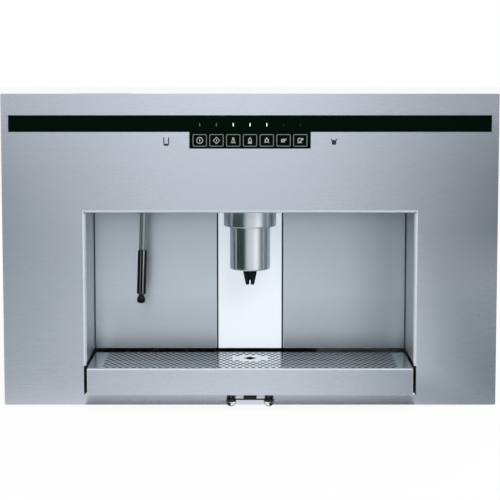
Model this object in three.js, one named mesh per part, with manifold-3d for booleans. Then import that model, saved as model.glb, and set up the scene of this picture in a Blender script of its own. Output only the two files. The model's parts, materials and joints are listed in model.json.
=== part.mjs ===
// Built-in coffee machine: a flush steel front with a lit cup recess, on telescopic runners.
// Millimetres. X runs to the right, Y into the cabinet, Z up. Y = 0 is the front of the face plate
// while the pieces are laid out; the whole group then moves so that the origin is the middle of the
// mounting base's underside.
import * as THREE from 'three';
import { mergeGeometries, mergeVertices } from 'three/addons/utils/BufferGeometryUtils.js';
import Module from 'manifold-3d';

const wasm = await Module();
wasm.setup();

// ---------------------------------------------------------------- driving dimensions
const SEAT_GAP = 0.3;              // between pieces that touch
const WELD = 0.1;                  // how far the parts of one solid reach into each other
const SIDES = [['left', -1], ['right', 1]];

// Face plate
const PLATE_WIDTH = 594;
const PLATE_HEIGHT = 376;
const PLATE_FLOOR_GAP = 2;         // above the shelf
const PLATE_SHEET = 1.5;
const PLATE_CORNER = 1.5;
const PLATE_RETURN = 20;           // edges folded back
const PLATE_LIP = 20;              // folded in again behind the sides and the top
const PLATE_FOOT_LIP = 9;          // the same along the bottom
const OPENING_DROP = 142.4;        // plate top to the opening's upper edge
const OPENING_BEND = 2.75;         // radius of the opening's bent edge
const OPENING_LIP = 4;             // depth of that edge
const RELIEF_RADIUS = 1.6;         // corner reliefs of the bent edge

// Display window and keys
const BAND_DROP = 25.8;            // plate top to band top
const BAND_HEIGHT = 19.4;
const BAND_SIDE = 9;               // plate edge to band end
const KEY_COUNT = 7;
const KEY_WIDTH = 17.4;
const KEY_HEIGHT = 15.4;
const KEY_SPACING = 2.6;
const KEY_CORNER = 1.6;
const KEY_UNDER_BAND = 2.6;
const KEY_CLEARANCE = 0.3;
const KEY_FLANGE = 1.2;            // thickness of the flange behind the window
const KEY_STEM_RADIUS = 2.6;
const KEY_STEM = 5.2;
const KEY_TRAVEL = 1;
const TAB_MARGIN = 3.5;            // beside the outer keys
const TAB_FOOT = 1.9;              // under the keys
const WINDOW_THICKNESS = 3.8;
const WINDOW_FLANGE = 4;           // hidden rim behind the plate
const WINDOW_SET_BACK = 0.2;
const POST_RADIUS = 3;
const BOARD_WIDTH = 236;
const BOARD_THICKNESS = 1.6;
const SWITCH_SIZE = 6;
const SWITCH_HEIGHT = 3;
const SWITCH_TIP = 0.5;
const LAMP_WIDTH = 2.5;            // light guides of the display
const LAMP_HEIGHT = 4.9;
const SYMBOL_OFFSET = 100.1;       // tank and grounds symbols, from the middle

// Cup recess
const RECESS_WIDTH = 395;
const RECESS_DEPTH = 85;
const WALL_SHEET = 1.5;
const WALL_ABOVE_TRAY = 3.1;
const LIGHT_WIDTH = 80.2;
const LIGHT_THICKNESS = 3;
const LIGHT_GAP = 2;               // dark joints beside the light panel
const LAMP_HOUSING_DEPTH = 20;
const LAMP_HOUSING_FLANGE = 12;

// Drip tray
const TRAY_WIDTH = 390.4;
const TRAY_BOTTOM = 17.3;
const TRAY_HEIGHT = 32.3;
const TRAY_PROUD = 15;             // in front of the face plate
const TRAY_BACK = 76;
const TRAY_FRONT_THICKNESS = 3;
const TRAY_FRONT_ROUND = 1.6;
const TRAY_WALL = 2;
const TRAY_RIM = 7;
const TRAY_CLEARANCE = 0.6;        // recess and tray inside the opening's edge
const BASIN_INSET = 0.7;           // basin inside the tray's outline
const GRID_SHEET = 1.5;
const GRID_SKIRT = 2.3;
const GRID_SIDE_RIM = 13.6;
const GRID_END_RIM = 5.5;
const GRID_PITCH = 16;             // along X; rows are half of it apart
const GRID_HOLE = 6.2;             // across the corners of a hole
const GRID_DIAMOND = 22;           // solid field under the spout, half of its diagonal
const GRID_DRAIN = 8;              // hole in that field, half of its diagonal
const RUNNER_LEDGE = 9;
const RUNNER_FOOT = 16;

// Pull bar under the tray
const KNOB_RADIUS = 5.6;
const KNOB_SPREAD = 22.8;          // from the middle
const KNOB_NECK = 2;
const KNOB_SET_OUT = 3;            // in front of the face plate
const CLIP_WIDTH = 9.6;
const CLIP_HEIGHT = 3.2;
const PULL_ROD = 2;
const PULL_BLOCK = 16;

// Coffee spout
const SPOUT_Y = 45;
const HOUSING_DIAMETER = 64.8;
const HOUSING_BELOW = 20.2;        // shows under the ceiling
const HOUSING_ABOVE = 56;
const HOUSING_FLANGE = 7;
const SLEEVE_DIAMETER = 50;
const SLEEVE_DROP = 53.1;          // shows under the housing
const SLEEVE_INSIDE = 38;          // stays in the housing
const SLEEVE_WALL = 2.5;
const SPOUT_CLEARANCE = 0.4;
const SPOUT_FILLET = 1.6;
const NOZZLE_HEIGHT = 20;
const NOZZLE_TOP_RADIUS = 4.3;
const NOZZLE_TIP_RADIUS = 2.1;
const NOZZLE_TOP_SPREAD = 4.45;
const NOZZLE_TIP_SPREAD = 2.7;
const NOZZLE_BORE = 1.1;

// Steam wand
const WAND_X = -131;
const WAND_LEAN = 1.93;            // degrees, to the left
const WAND_BALL = 8;
const WAND_BALL_ABOVE = 3;         // centre above the ceiling's underside
const WAND_TUBE = 4.5;
const WAND_TUBE_LENGTH = 53.4;
const WAND_GRIP = 5.65;
const WAND_GRIP_LENGTH = 54.8;
const WAND_TIP_LENGTH = 10.8;
const WAND_TIP = 5.2;
const WAND_NECK = 3.4;
const WAND_BORE = 1;
const SOCKET_FLANGE = 8;

// Casing and chassis
const CASING_INSET = 35;           // face plate's edge to the casing's side
const CASING_SHEET = 1.5;
const CASING_TOP_DROP = 12;        // below the plate's top
const FLOOR_HEIGHT = 8;            // above the shelf
const FLOOR_FLANGE = 6;
const FRAME_SHEET = 1.5;
const MODULE_DEPTH = 265;          // room behind the recess
const MODULE_CLEARANCE = 8;
const VENT_WIDTH = 4;
const VENT_PITCH = 11;
const VENT_LENGTH = 50;
const VENT_MARGIN = 30;            // to the panel's edge
const SIDE_VENTS = 9;
const BACK_VENTS = 11;
const TOP_VENTS = 9;

// Runners and base
const RAIL_WIDTH = 15.1;
const RAIL_HEIGHT = 45;
const RAIL_SHEET = 1.5;
const RAIL_CLEARANCE = 0.4;
const RAIL_LIP = 1.5;
const RAIL_LENGTH = 335;
const RAIL_SET_BACK = 8;           // behind the front of the base
const RAIL_ABOVE_SHELF = 12;
const RAIL_FOOT = 24;
const BASE_SHEET = 2;
const BASE_BEHIND_CASING = 4;
const BASE_BEHIND_FRAME = 8;
const BASE_LIP = 10;
const BASE_RIB = 3;
const BASE_HOLE = 44;              // lightening holes, twice as wide as deep
const BASE_HOLE_PITCH = 110;

// Water tank
const TANK_WIDTH = 90;
const TANK_DEPTH = 170;
const TANK_HEIGHT = 206;
const TANK_WALL = 2.5;
const TANK_CORNER = 9;
const TANK_SIDE_CLEARANCE = 10;
const TANK_HOLE_CLEARANCE = 2;
const TANK_LID = 5.5;
const CRADLE_SHEET = 2;
const VALVE_RADIUS = 9;
const VALVE_HEIGHT = 12;

// Beans, grinder and grounds
const HOPPER_TOP = 130;
const HOPPER_FOOT = 62;
const HOPPER_HEIGHT = 84;
const HOPPER_WALL = 2;
const HOPPER_FROM_SIDE = 112;      // casing's side to the hopper's middle
const HOPPER_LID = 4;
const LID_HINGE_INSET = 0.5;       // lid's rounded back edge inside its outline
const FINGER_HOLLOW = 10;          // radius of the hollow at a lid's front edge
const GRINDER_RADIUS = 44;
const GRINDER_HEIGHT = 52;
const GRINDER_MOTOR_RADIUS = 30;
const GRINDER_CHAMFER = 6;
const CHUTE_WIDTH = 24;
const CHUTE_HEIGHT = 20;
const DRAWER_LENGTH = 176;         // along X
const DRAWER_WIDTH = 130;          // along Y
const DRAWER_HEIGHT = 76;
const DRAWER_WALL = 2;
const DRAWER_ABOVE_RAIL = 6;
const DRAWER_FRONT = 2;
const DRAWER_FRONT_OVERLAP = 5;
const DRAWER_SET_BACK = 10;        // behind the front of the brewing module
const DRAWER_PULL = 50;            // width of its pull edge
const GUIDE_SHEET = 2;
const GUIDE_LEDGE = 8;

// Brewing, heating, pumping and power
const BREW_WIDTH = 96;
const BREW_DEPTH = 104;
const BREW_HEIGHT = 212;
const BREW_CYLINDER = 27;
const BREW_CHEEK = 3;
const BREW_TAPER = 18;             // slant of the cheeks, front and back
const BREW_FOOT = 4;
const BREW_HEAD = 38;
const BREW_STROKE = 60;            // free height under the cylinder
const BREW_SPINDLE = 5;
const BOILER_WIDTH = 58;
const BOILER_DEPTH = 96;
const BOILER_HEIGHT = 70;
const BOILER_LEGS = 110;
const BOILER_LEG_RADIUS = 3.5;
const BOILER_RIBS = 4;
const BOILER_RIB = 4;
const BOILER_SET_BACK = 10;
const PUMP_LENGTH = 92;
const PUMP_RADIUS = 19;
const PUMP_SADDLE = 8;             // rubber under the pump
const POWER_BOARD_WIDTH = 130;
const POWER_BOARD_HEIGHT = 96;
const POWER_BOARD_STANDOFF = 40;   // in front of the back panel
const BRACKET = 8;
const TRANSFORMER = 40;
const RELAY = 16;
const CAPACITOR_RADIUS = 6;
const INLET_WIDTH = 29;
const INLET_HEIGHT = 22;
const INLET_DEPTH = 22;
const INLET_WALL = 3;
const INLET_FLANGE = 4;
const INLET_FROM_SIDE = 57;        // casing's side to the inlet's middle
const INLET_Z = 92;
const HOSE_RADIUS = 4;
const NIPPLE_RADIUS = 5;
const NIPPLE_HEIGHT = 7;

// ---------------------------------------------------------------- places that follow from them
const plateTop = PLATE_FLOOR_GAP + PLATE_HEIGHT;
const bandTop = plateTop - BAND_DROP;
const bandBottom = bandTop - BAND_HEIGHT;
const keyZ = bandBottom - KEY_UNDER_BAND - KEY_HEIGHT / 2;
const tabBottom = keyZ - KEY_HEIGHT / 2 - TAB_FOOT;
const keyPitch = KEY_WIDTH + KEY_SPACING;
const tabHalf = (KEY_COUNT * keyPitch - KEY_SPACING) / 2 + TAB_MARGIN;
const bandHalf = PLATE_WIDTH / 2 - BAND_SIDE;
const windowBack = WINDOW_SET_BACK + WINDOW_THICKNESS;
const keyFlangeBack = windowBack + SEAT_GAP + KEY_FLANGE;
const switchFront = keyFlangeBack + KEY_STEM + KEY_TRAVEL + SEAT_GAP;
const boardFront = switchFront + SWITCH_TIP + SWITCH_HEIGHT;

const trayTop = TRAY_BOTTOM + TRAY_HEIGHT;
const openingTop = plateTop - OPENING_DROP;
const openingHalf = RECESS_WIDTH / 2 + TRAY_CLEARANCE;
const openingBottom = TRAY_BOTTOM - TRAY_CLEARANCE;
const ceilingZ = openingTop - TRAY_CLEARANCE;
const wallBottom = trayTop + WALL_ABOVE_TRAY;
const recessHalf = RECESS_WIDTH / 2;
const lightHalf = LIGHT_WIDTH / 2;
const recessBack = RECESS_DEPTH + WALL_SHEET;
const lampHousingBack = recessBack + SEAT_GAP + LAMP_HOUSING_DEPTH;

const frameFront = PLATE_RETURN + SEAT_GAP;
const casingFront = frameFront + FRAME_SHEET + SEAT_GAP;
const moduleFront = lampHousingBack + MODULE_CLEARANCE;
const casingBack = moduleFront + MODULE_DEPTH;
const casingHalf = PLATE_WIDTH / 2 - CASING_INSET;
const innerHalf = casingHalf - CASING_SHEET - SEAT_GAP;
const coverZ = plateTop - CASING_TOP_DROP;
const coverTop = coverZ + CASING_SHEET;
const floorTop = FLOOR_HEIGHT + CASING_SHEET;
const standZ = floorTop + SEAT_GAP;

const hopperX = casingHalf - HOPPER_FROM_SIDE;
const inletX = casingHalf - INLET_FROM_SIDE;
const railOutside = casingHalf + SEAT_GAP + RAIL_WIDTH;
const baseHalf = railOutside + 1.6;
const baseFront = casingFront + BASE_BEHIND_FRAME;
const baseBack = casingBack + BASE_BEHIND_CASING;
const baseDepth = baseBack - baseFront;
const railFront = baseFront + RAIL_SET_BACK;
const railTop = RAIL_ABOVE_SHELF + RAIL_HEIGHT;

// ---------------------------------------------------------------- geometry helpers
// Merges a geometry's shared corners, drops slivers at poles and turns its faces outwards.
function closed(geometry) {
  const bare = geometry.clone();
  for (const name of Object.keys(bare.attributes)) {
    if (name !== 'position') bare.deleteAttribute(name);
  }
  const merged = mergeVertices(bare, 1e-4);
  const at = merged.attributes.position;
  const corner = [new THREE.Vector3(), new THREE.Vector3(), new THREE.Vector3()];
  const index = [];
  let volume = 0;
  for (let i = 0; i < merged.index.count; i += 3) {
    const [a, b, c] = [0, 1, 2].map((k) => merged.index.getX(i + k));
    if (a === b || b === c || c === a) continue;
    [a, b, c].forEach((v, k) => corner[k].fromBufferAttribute(at, v));
    volume += corner[0].dot(corner[1].clone().cross(corner[2]));
    index.push(a, b, c);
  }
  if (volume < 0) index.reverse();
  merged.setIndex(index);
  return merged;
}

function toSolid(geometry) {
  const g = closed(geometry);
  const vertProperties = new Float32Array(g.attributes.position.array);
  const triVerts = new Uint32Array(g.index.array);
  return new wasm.Manifold(new wasm.Mesh({ numProp: 3, vertProperties, triVerts }));
}

function toGeometry(solid) {
  const mesh = solid.getMesh();
  const geometry = new THREE.BufferGeometry();
  geometry.setAttribute('position', new THREE.BufferAttribute(mesh.vertProperties, 3));
  geometry.setIndex(new THREE.BufferAttribute(mesh.triVerts, 1));
  return geometry;
}

function join(first, ...others) {
  return toGeometry(others.reduce((sum, g) => sum.add(toSolid(g)), toSolid(first)));
}

function cut(first, ...tools) {
  return toGeometry(tools.reduce((rest, g) => rest.subtract(toSolid(g)), toSolid(first)));
}

function common(first, second) {
  return toGeometry(toSolid(first).intersect(toSolid(second)));
}

function block(x0, x1, y0, y1, z0, z1) {
  const g = new THREE.BoxGeometry(x1 - x0, y1 - y0, z1 - z0);
  return g.translate((x0 + x1) / 2, (y0 + y1) / 2, (z0 + z1) / 2);
}

function extrude(shape, depth, curveSegments) {
  return new THREE.ExtrudeGeometry(shape, { depth, bevelEnabled: false, curveSegments });
}

// A shape drawn in X and Z, extruded along Y.
function alongY(shape, y0, y1, segments = 3) {
  return extrude(shape, y1 - y0, segments).rotateX(Math.PI / 2).translate(0, y1, 0);
}

// A shape drawn in X and Y, extruded along Z.
function alongZ(shape, z0, z1, segments = 3) {
  return extrude(shape, z1 - z0, segments).translate(0, 0, z0);
}

// A shape drawn in Y and Z, extruded along X.
function alongX(shape, x0, x1, segments = 3) {
  const turn = new THREE.Matrix4().makeBasis(
    new THREE.Vector3(0, 1, 0), new THREE.Vector3(0, 0, 1), new THREE.Vector3(1, 0, 0));
  return extrude(shape, x1 - x0, segments).applyMatrix4(turn).translate(x0, 0, 0);
}

function polygon(points) {
  return new THREE.Shape(points.map(([x, y]) => new THREE.Vector2(x, y)));
}

function rectangle(x0, x1, y0, y1) {
  return polygon([[x0, y0], [x1, y0], [x1, y1], [x0, y1]]);
}

function roundedRectangle(x0, x1, y0, y1, r) {
  const shape = new THREE.Shape();
  shape.moveTo(x0 + r, y0);
  shape.absarc(x1 - r, y0 + r, r, -Math.PI / 2, 0);
  shape.absarc(x1 - r, y1 - r, r, 0, Math.PI / 2);
  shape.absarc(x0 + r, y1 - r, r, Math.PI / 2, Math.PI);
  shape.absarc(x0 + r, y0 + r, r, Math.PI, Math.PI * 1.5);
  return shape;
}

// A body turned about Z; the profile is a list of [radius, z].
function turned(profile, segments = 40) {
  const points = profile.map(([r, z]) => new THREE.Vector2(r, z));
  return new THREE.LatheGeometry(points, segments).rotateX(Math.PI / 2);
}

// Corner points of a quarter round for a turned profile, from the flat end to the side.
function quarter(centreR, centreZ, radius, from, to, steps = 4) {
  return Array.from({ length: steps + 1 }, (_, i) => {
    const angle = THREE.MathUtils.degToRad(from + (to - from) * i / steps);
    return [centreR + radius * Math.cos(angle), centreZ + radius * Math.sin(angle)];
  });
}

function rodX(radius, x0, x1, y, z, segments = 16) {
  const g = new THREE.CylinderGeometry(radius, radius, x1 - x0, segments);
  return g.rotateZ(Math.PI / 2).translate((x0 + x1) / 2, y, z);
}

function rodY(radius, y0, y1, x, z, segments = 16) {
  const g = new THREE.CylinderGeometry(radius, radius, y1 - y0, segments);
  return g.translate(x, (y0 + y1) / 2, z);
}

function rodZ(radius, z0, z1, x, y, segments = 16) {
  const g = new THREE.CylinderGeometry(radius, radius, z1 - z0, segments);
  return g.rotateX(Math.PI / 2).translate(x, y, (z0 + z1) / 2);
}

// A body through rings of the same number of points, with flat ends.
function loft(rings) {
  const count = rings[0].length;
  const index = [];
  rings.slice(1).forEach((_, level) => {
    for (let i = 0; i < count; i += 1) {
      const a = level * count + i;
      const b = level * count + (i + 1) % count;
      index.push(a, b, b + count, a, b + count, a + count);
    }
  });
  const last = (rings.length - 1) * count;
  for (let i = 1; i < count - 1; i += 1) {
    index.push(0, i + 1, i, last, last + i, last + i + 1);
  }
  const geometry = new THREE.BufferGeometry();
  geometry.setAttribute('position', new THREE.Float32BufferAttribute(rings.flat(2), 3));
  geometry.setIndex(index);
  return geometry;
}

function hose(points, radius, steps) {
  const circle = new THREE.Shape();
  circle.absarc(0, 0, radius, 0, Math.PI * 2);
  const extrudePath = new THREE.CatmullRomCurve3(points.map((p) => new THREE.Vector3(...p)));
  return new THREE.ExtrudeGeometry(circle, { steps, bevelEnabled: false, curveSegments: 4, extrudePath });
}

// ---------------------------------------------------------------- materials
const finishes = {
  brushedSteel: { color: 0xb9bdc2, metalness: 1, roughness: 0.34 },
  polishedSteel: { color: 0xd3d7dd, metalness: 1, roughness: 0.1 },
  sheetSteel: { color: 0x9ea3a6, metalness: 1, roughness: 0.5 },
  blackGlass: { color: 0x050908, metalness: 0, roughness: 0.06 },
  opal: { color: 0xeaf2fa, metalness: 0, roughness: 0.5, emissive: 0xeaf2fa },
  blackPlastic: { color: 0x15181a, metalness: 0, roughness: 0.45 },
  greyPlastic: { color: 0x8d9296, metalness: 0, roughness: 0.5 },
  clearPlastic: { color: 0xdfe8ee, metalness: 0, roughness: 0.08, transparent: true, opacity: 0.45 },
  board: { color: 0x1d5a38, metalness: 0, roughness: 0.5 },
  castMetal: { color: 0x8f9294, metalness: 1, roughness: 0.55 },
  silicone: { color: 0xcfd3d2, metalness: 0, roughness: 0.6 },
};

const machine = new THREE.Group();

function add(name, geometry, finish, group = machine) {
  const mesh = new THREE.Mesh(closed(geometry), new THREE.MeshStandardMaterial(finishes[finish]));
  mesh.name = name;
  group.add(mesh);
  return mesh;
}

function groupAt(x, y, z, parent = machine) {
  const group = new THREE.Group();
  group.position.set(x, y, z);
  parent.add(group);
  return group;
}

// ---------------------------------------------------------------- face plate, window and keys
// The T-shaped outline of the display: a full-width band with a tab under it for the keys.
function displayOutline(grow) {
  const [band, tab] = [bandHalf + grow, tabHalf + grow];
  const [top, step, foot] = [bandTop + grow, bandBottom - grow, tabBottom - grow];
  return polygon([[-band, top], [-band, step], [-tab, step], [-tab, foot],
    [tab, foot], [tab, step], [band, step], [band, top]]);
}

function keyX(number) {
  return (number - (KEY_COUNT - 1) / 2) * keyPitch;
}

// The bent edge of the opening rolls from the front face into the recess.
function openingRing(offset, y) {
  const [x, low, high] = [openingHalf + offset, openingBottom - offset, openingTop + offset];
  return [[-x, y, low], [x, y, low], [x, y, high], [-x, y, high]];
}

function facePlate() {
  const half = PLATE_WIDTH / 2;
  const inner = half - PLATE_SHEET;
  const [low, high] = [PLATE_FLOOR_GAP + PLATE_SHEET, plateTop - PLATE_SHEET];
  const outline = roundedRectangle(-half, half, PLATE_FLOOR_GAP, plateTop, PLATE_CORNER);
  const pan = cut(
    alongY(outline, 0, PLATE_RETURN),
    block(-inner, inner, PLATE_SHEET, PLATE_RETURN - PLATE_SHEET, low, high),
    block(-inner + PLATE_LIP, inner - PLATE_LIP, PLATE_SHEET, PLATE_RETURN + 1,
      low + PLATE_FOOT_LIP, high - PLATE_LIP));
  const edge = openingHalf + OPENING_BEND;
  const ring = block(-edge, edge, 0, OPENING_LIP,
    openingBottom - OPENING_BEND, openingTop + OPENING_BEND);
  const bend = [0, 22.5, 45, 67.5, 90].map((degrees) => {
    const angle = THREE.MathUtils.degToRad(degrees);
    return openingRing(OPENING_BEND * (1 - Math.sin(angle)), OPENING_BEND * (1 - Math.cos(angle)));
  });
  const opening = loft([openingRing(OPENING_BEND, -1), ...bend, openingRing(0, PLATE_RETURN + 1)]);
  const reliefs = SIDES.map(([, side]) =>
    rodY(RELIEF_RADIUS, -1, OPENING_LIP + 1, side * openingHalf, openingTop, 12));
  const display = alongY(displayOutline(SEAT_GAP), -1, PLATE_SHEET + 1);
  return cut(join(pan, ring), opening, display, ...reliefs);
}

function displayWindow() {
  const glass = alongY(displayOutline(0), WINDOW_SET_BACK, windowBack);
  const rim = alongY(displayOutline(WINDOW_FLANGE), PLATE_SHEET + SEAT_GAP, windowBack);
  const posts = SIDES.map(([, side]) => rodY(POST_RADIUS, windowBack - 1, boardFront - SEAT_GAP,
    side * (BOARD_WIDTH / 2 - 2 * POST_RADIUS), (bandTop + bandBottom) / 2, 12));
  const holes = Array.from({ length: KEY_COUNT }, (_, i) => keyCap(keyX(i), KEY_CLEARANCE, -1,
    windowBack + 1));
  return cut(join(glass, rim, ...posts), ...holes);
}

function keyCap(x, grow, y0, y1) {
  const [w, h] = [KEY_WIDTH / 2 + grow, KEY_HEIGHT / 2 + grow];
  return alongY(roundedRectangle(x - w, x + w, keyZ - h, keyZ + h, KEY_CORNER), y0, y1, 2);
}

// A key's own origin is the middle of its front face.
function key() {
  const [w, h] = [KEY_WIDTH / 2, KEY_HEIGHT / 2];
  const cap = roundedRectangle(-w, w, -h, h, KEY_CORNER);
  const overhang = KEY_SPACING * 0.35;
  const flange = rectangle(-w - overhang, w + overhang, -h - overhang, h + overhang);
  const backOf = windowBack - WINDOW_SET_BACK;
  const stemEnd = backOf + SEAT_GAP + KEY_FLANGE + KEY_STEM;
  return join(
    alongY(cap, 0, backOf + SEAT_GAP + KEY_FLANGE / 2, 2),
    alongY(flange, backOf + SEAT_GAP, backOf + SEAT_GAP + KEY_FLANGE),
    rodY(KEY_STEM_RADIUS, backOf, stemEnd, 0, 0, 8));
}

// Circuit board with a push switch behind each key and a light guide behind each lamp.
function controlBoard() {
  const half = BOARD_WIDTH / 2;
  const size = SWITCH_SIZE / 2;
  const lampZ = (bandTop + bandBottom) / 2 - 1.4;
  const pieces = [];
  for (let i = 0; i < KEY_COUNT; i += 1) {
    const x = keyX(i);
    pieces.push(block(x - size, x + size, boardFront - SWITCH_HEIGHT, boardFront + WELD,
      keyZ - size, keyZ + size));
    pieces.push(rodY(SWITCH_TIP + size / 2, switchFront, boardFront, x, keyZ, 8));
  }
  const lampsAt = [...Array(KEY_COUNT).keys()].map(keyX).concat([-SYMBOL_OFFSET, SYMBOL_OFFSET]);
  for (const x of lampsAt) {
    pieces.push(block(x - LAMP_WIDTH / 2, x + LAMP_WIDTH / 2, windowBack + SEAT_GAP,
      boardFront + WELD, lampZ - LAMP_HEIGHT / 2, lampZ + LAMP_HEIGHT / 2));
  }
  const card = block(-half, half, boardFront, boardFront + BOARD_THICKNESS, tabBottom + 1, bandTop - 1);
  return join(card, ...pieces);
}

function buildFront() {
  add('face_plate', facePlate(), 'brushedSteel');
  add('display_window', displayWindow(), 'blackGlass');
  add('control_board', controlBoard(), 'board');
  for (let i = 0; i < KEY_COUNT; i += 1) {
    add(`key_${i + 1}`, key(), 'blackGlass', groupAt(keyX(i), WINDOW_SET_BACK, keyZ));
  }
}

// ---------------------------------------------------------------- cup recess
const wallFront = OPENING_LIP + SEAT_GAP;
const ceilingTop = ceilingZ + WALL_SHEET;

function recessSide(side) {
  const [a, b] = [side * recessHalf, side * (recessHalf + WALL_SHEET)];
  return block(Math.min(a, b), Math.max(a, b), wallFront, recessBack, wallBottom, ceilingTop);
}

// The back wall is a sheet whose edge beside the light panel is folded back.
function recessBackWall(side) {
  const near = side * (lightHalf + LIGHT_GAP);
  const far = side * (recessHalf - SEAT_GAP);
  const fold = side * (lightHalf + LIGHT_GAP + WALL_SHEET);
  const spans = [
    [near, far, RECESS_DEPTH, recessBack],
    [near, fold, RECESS_DEPTH, recessBack + LIGHT_THICKNESS],
  ];
  return join(...spans.map(([x0, x1, y0, y1]) =>
    block(Math.min(x0, x1), Math.max(x0, x1), y0, y1, wallBottom, ceilingTop)));
}

function recessCeiling() {
  const half = recessHalf - SEAT_GAP;
  const sheet = block(-half, half, wallFront, RECESS_DEPTH - SEAT_GAP, ceilingZ, ceilingTop);
  const housing = rodZ(HOUSING_DIAMETER / 2 + SEAT_GAP, ceilingZ - 1, ceilingTop + 1, 0, SPOUT_Y, 32);
  const ball = rodZ(WAND_BALL + SEAT_GAP, ceilingZ - 1, ceilingTop + 1, WAND_X, SPOUT_Y, 24);
  return cut(sheet, housing, ball);
}

function lightPanel() {
  return block(-lightHalf, lightHalf, RECESS_DEPTH, RECESS_DEPTH + LIGHT_THICKNESS,
    wallBottom, ceilingTop);
}

// White tray behind the light panel, with two strips of lamps on its floor.
function lampHousing() {
  const half = lightHalf + LIGHT_GAP + WALL_SHEET + SEAT_GAP;
  const front = recessBack + SEAT_GAP;
  const outer = half + LAMP_HOUSING_FLANGE;
  const depthStart = RECESS_DEPTH + LIGHT_THICKNESS + SEAT_GAP;
  const box = block(-half - WALL_SHEET, half + WALL_SHEET, front, lampHousingBack, wallBottom, ceilingTop);
  const flange = block(-outer, outer, front, front + WALL_SHEET, wallBottom, ceilingTop);
  const hollow = block(-half, half, front - 1, lampHousingBack - WALL_SHEET,
    wallBottom + WALL_SHEET, ceilingTop - WALL_SHEET);
  const folds = block(-half, half, front - 1, recessBack + LIGHT_THICKNESS + SEAT_GAP,
    wallBottom - 1, ceilingTop + 1);
  const seat = LAMP_HOUSING_FLANGE / 2;
  const ledges = SIDES.map(([, side]) => block(
    side * lightHalf - seat, side * lightHalf + seat, depthStart + 2 * WALL_SHEET,
    lampHousingBack - WALL_SHEET / 2, wallBottom + seat, ceilingTop - seat));
  const pads = SIDES.map(([, side]) => block(
    side * (lightHalf - seat) - seat, side * (lightHalf - seat) + seat, depthStart,
    lampHousingBack - WALL_SHEET / 2, wallBottom + seat, wallBottom + 2 * seat));
  return join(cut(join(box, flange), hollow, folds), ...ledges, ...pads);
}

function buildRecess() {
  for (const [name, side] of SIDES) {
    add(`recess_wall_${name}`, recessSide(side), 'brushedSteel');
    add(`recess_back_${name}`, recessBackWall(side), 'brushedSteel');
  }
  add('recess_ceiling', recessCeiling(), 'brushedSteel');
  add('light_panel', lightPanel(), 'opal');
  add('lamp_housing', lampHousing(), 'greyPlastic');
}

// ---------------------------------------------------------------- coffee spout
const housingRadius = HOUSING_DIAMETER / 2;
const sleeveRadius = SLEEVE_DIAMETER / 2;
const housingBottom = ceilingZ - HOUSING_BELOW;
const housingTop = ceilingTop + SEAT_GAP + HOUSING_ABOVE;
const sleeveBottom = housingBottom - SLEEVE_DROP;

// Fixed cylinder under the ceiling; its flange sits on the ceiling sheet.
function spoutHousing() {
  const bore = sleeveRadius + SPOUT_CLEARANCE;
  const flangeZ = ceilingTop + SEAT_GAP;
  const roof = housingTop - WALL_SHEET;
  return turned([
    [bore, roof - SPOUT_FILLET], [bore, housingBottom],
    ...quarter(housingRadius - SPOUT_FILLET, housingBottom + SPOUT_FILLET, SPOUT_FILLET, -90, 0),
    [housingRadius, flangeZ], [housingRadius + HOUSING_FLANGE, flangeZ],
    [housingRadius + HOUSING_FLANGE, flangeZ + 2 * WALL_SHEET], [housingRadius, flangeZ + 2 * WALL_SHEET],
    [housingRadius, housingTop], [NIPPLE_RADIUS, housingTop],
    [NIPPLE_RADIUS, housingTop + NIPPLE_HEIGHT], [0, housingTop + NIPPLE_HEIGHT],
    [0, roof - SPOUT_FILLET], [bore, roof - SPOUT_FILLET],
  ], 36);
}

function spoutSleeve() {
  const top = housingBottom + SLEEVE_INSIDE;
  const floor = sleeveBottom + SLEEVE_WALL;
  return turned([
    [0, sleeveBottom],
    ...quarter(sleeveRadius - SPOUT_FILLET, sleeveBottom + SPOUT_FILLET, SPOUT_FILLET, -90, 0),
    [sleeveRadius, top], [sleeveRadius - SLEEVE_WALL, top], [sleeveRadius - SLEEVE_WALL, floor],
    [0, floor],
  ], 36);
}

// Twin outlets that lean towards each other under a common collar.
function spoutNozzles() {
  const top = sleeveBottom - SEAT_GAP;
  const bottom = top - NOZZLE_HEIGHT;
  const collar = rodZ(NOZZLE_TOP_SPREAD + NOZZLE_TOP_RADIUS, top - SLEEVE_WALL, top, 0, 0, 24);
  const ring = (x, radius, z) => Array.from({ length: 16 }, (_, i) => {
    const angle = i * Math.PI / 8;
    return [x + radius * Math.cos(angle), radius * Math.sin(angle), z];
  });
  const legs = SIDES.map(([, side]) => loft([
    ring(side * NOZZLE_TIP_SPREAD, NOZZLE_TIP_RADIUS, bottom),
    ring(side * NOZZLE_TOP_SPREAD, NOZZLE_TOP_RADIUS, top - SLEEVE_WALL / 2),
  ]));
  const bores = SIDES.map(([, side]) => rodZ(NOZZLE_BORE, bottom - 1, bottom + NOZZLE_TIP_RADIUS * 3,
    side * NOZZLE_TIP_SPREAD, 0, 10));
  return cut(join(collar, ...legs), ...bores);
}

function buildSpout() {
  const axis = groupAt(0, SPOUT_Y, 0);
  add('spout_housing', spoutHousing(), 'polishedSteel', axis);
  add('spout_sleeve', spoutSleeve(), 'polishedSteel', axis);
  add('spout_nozzles', spoutNozzles(), 'polishedSteel', axis);
}

// ---------------------------------------------------------------- steam wand
const ballZ = ceilingZ + WAND_BALL_ABOVE;

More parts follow.
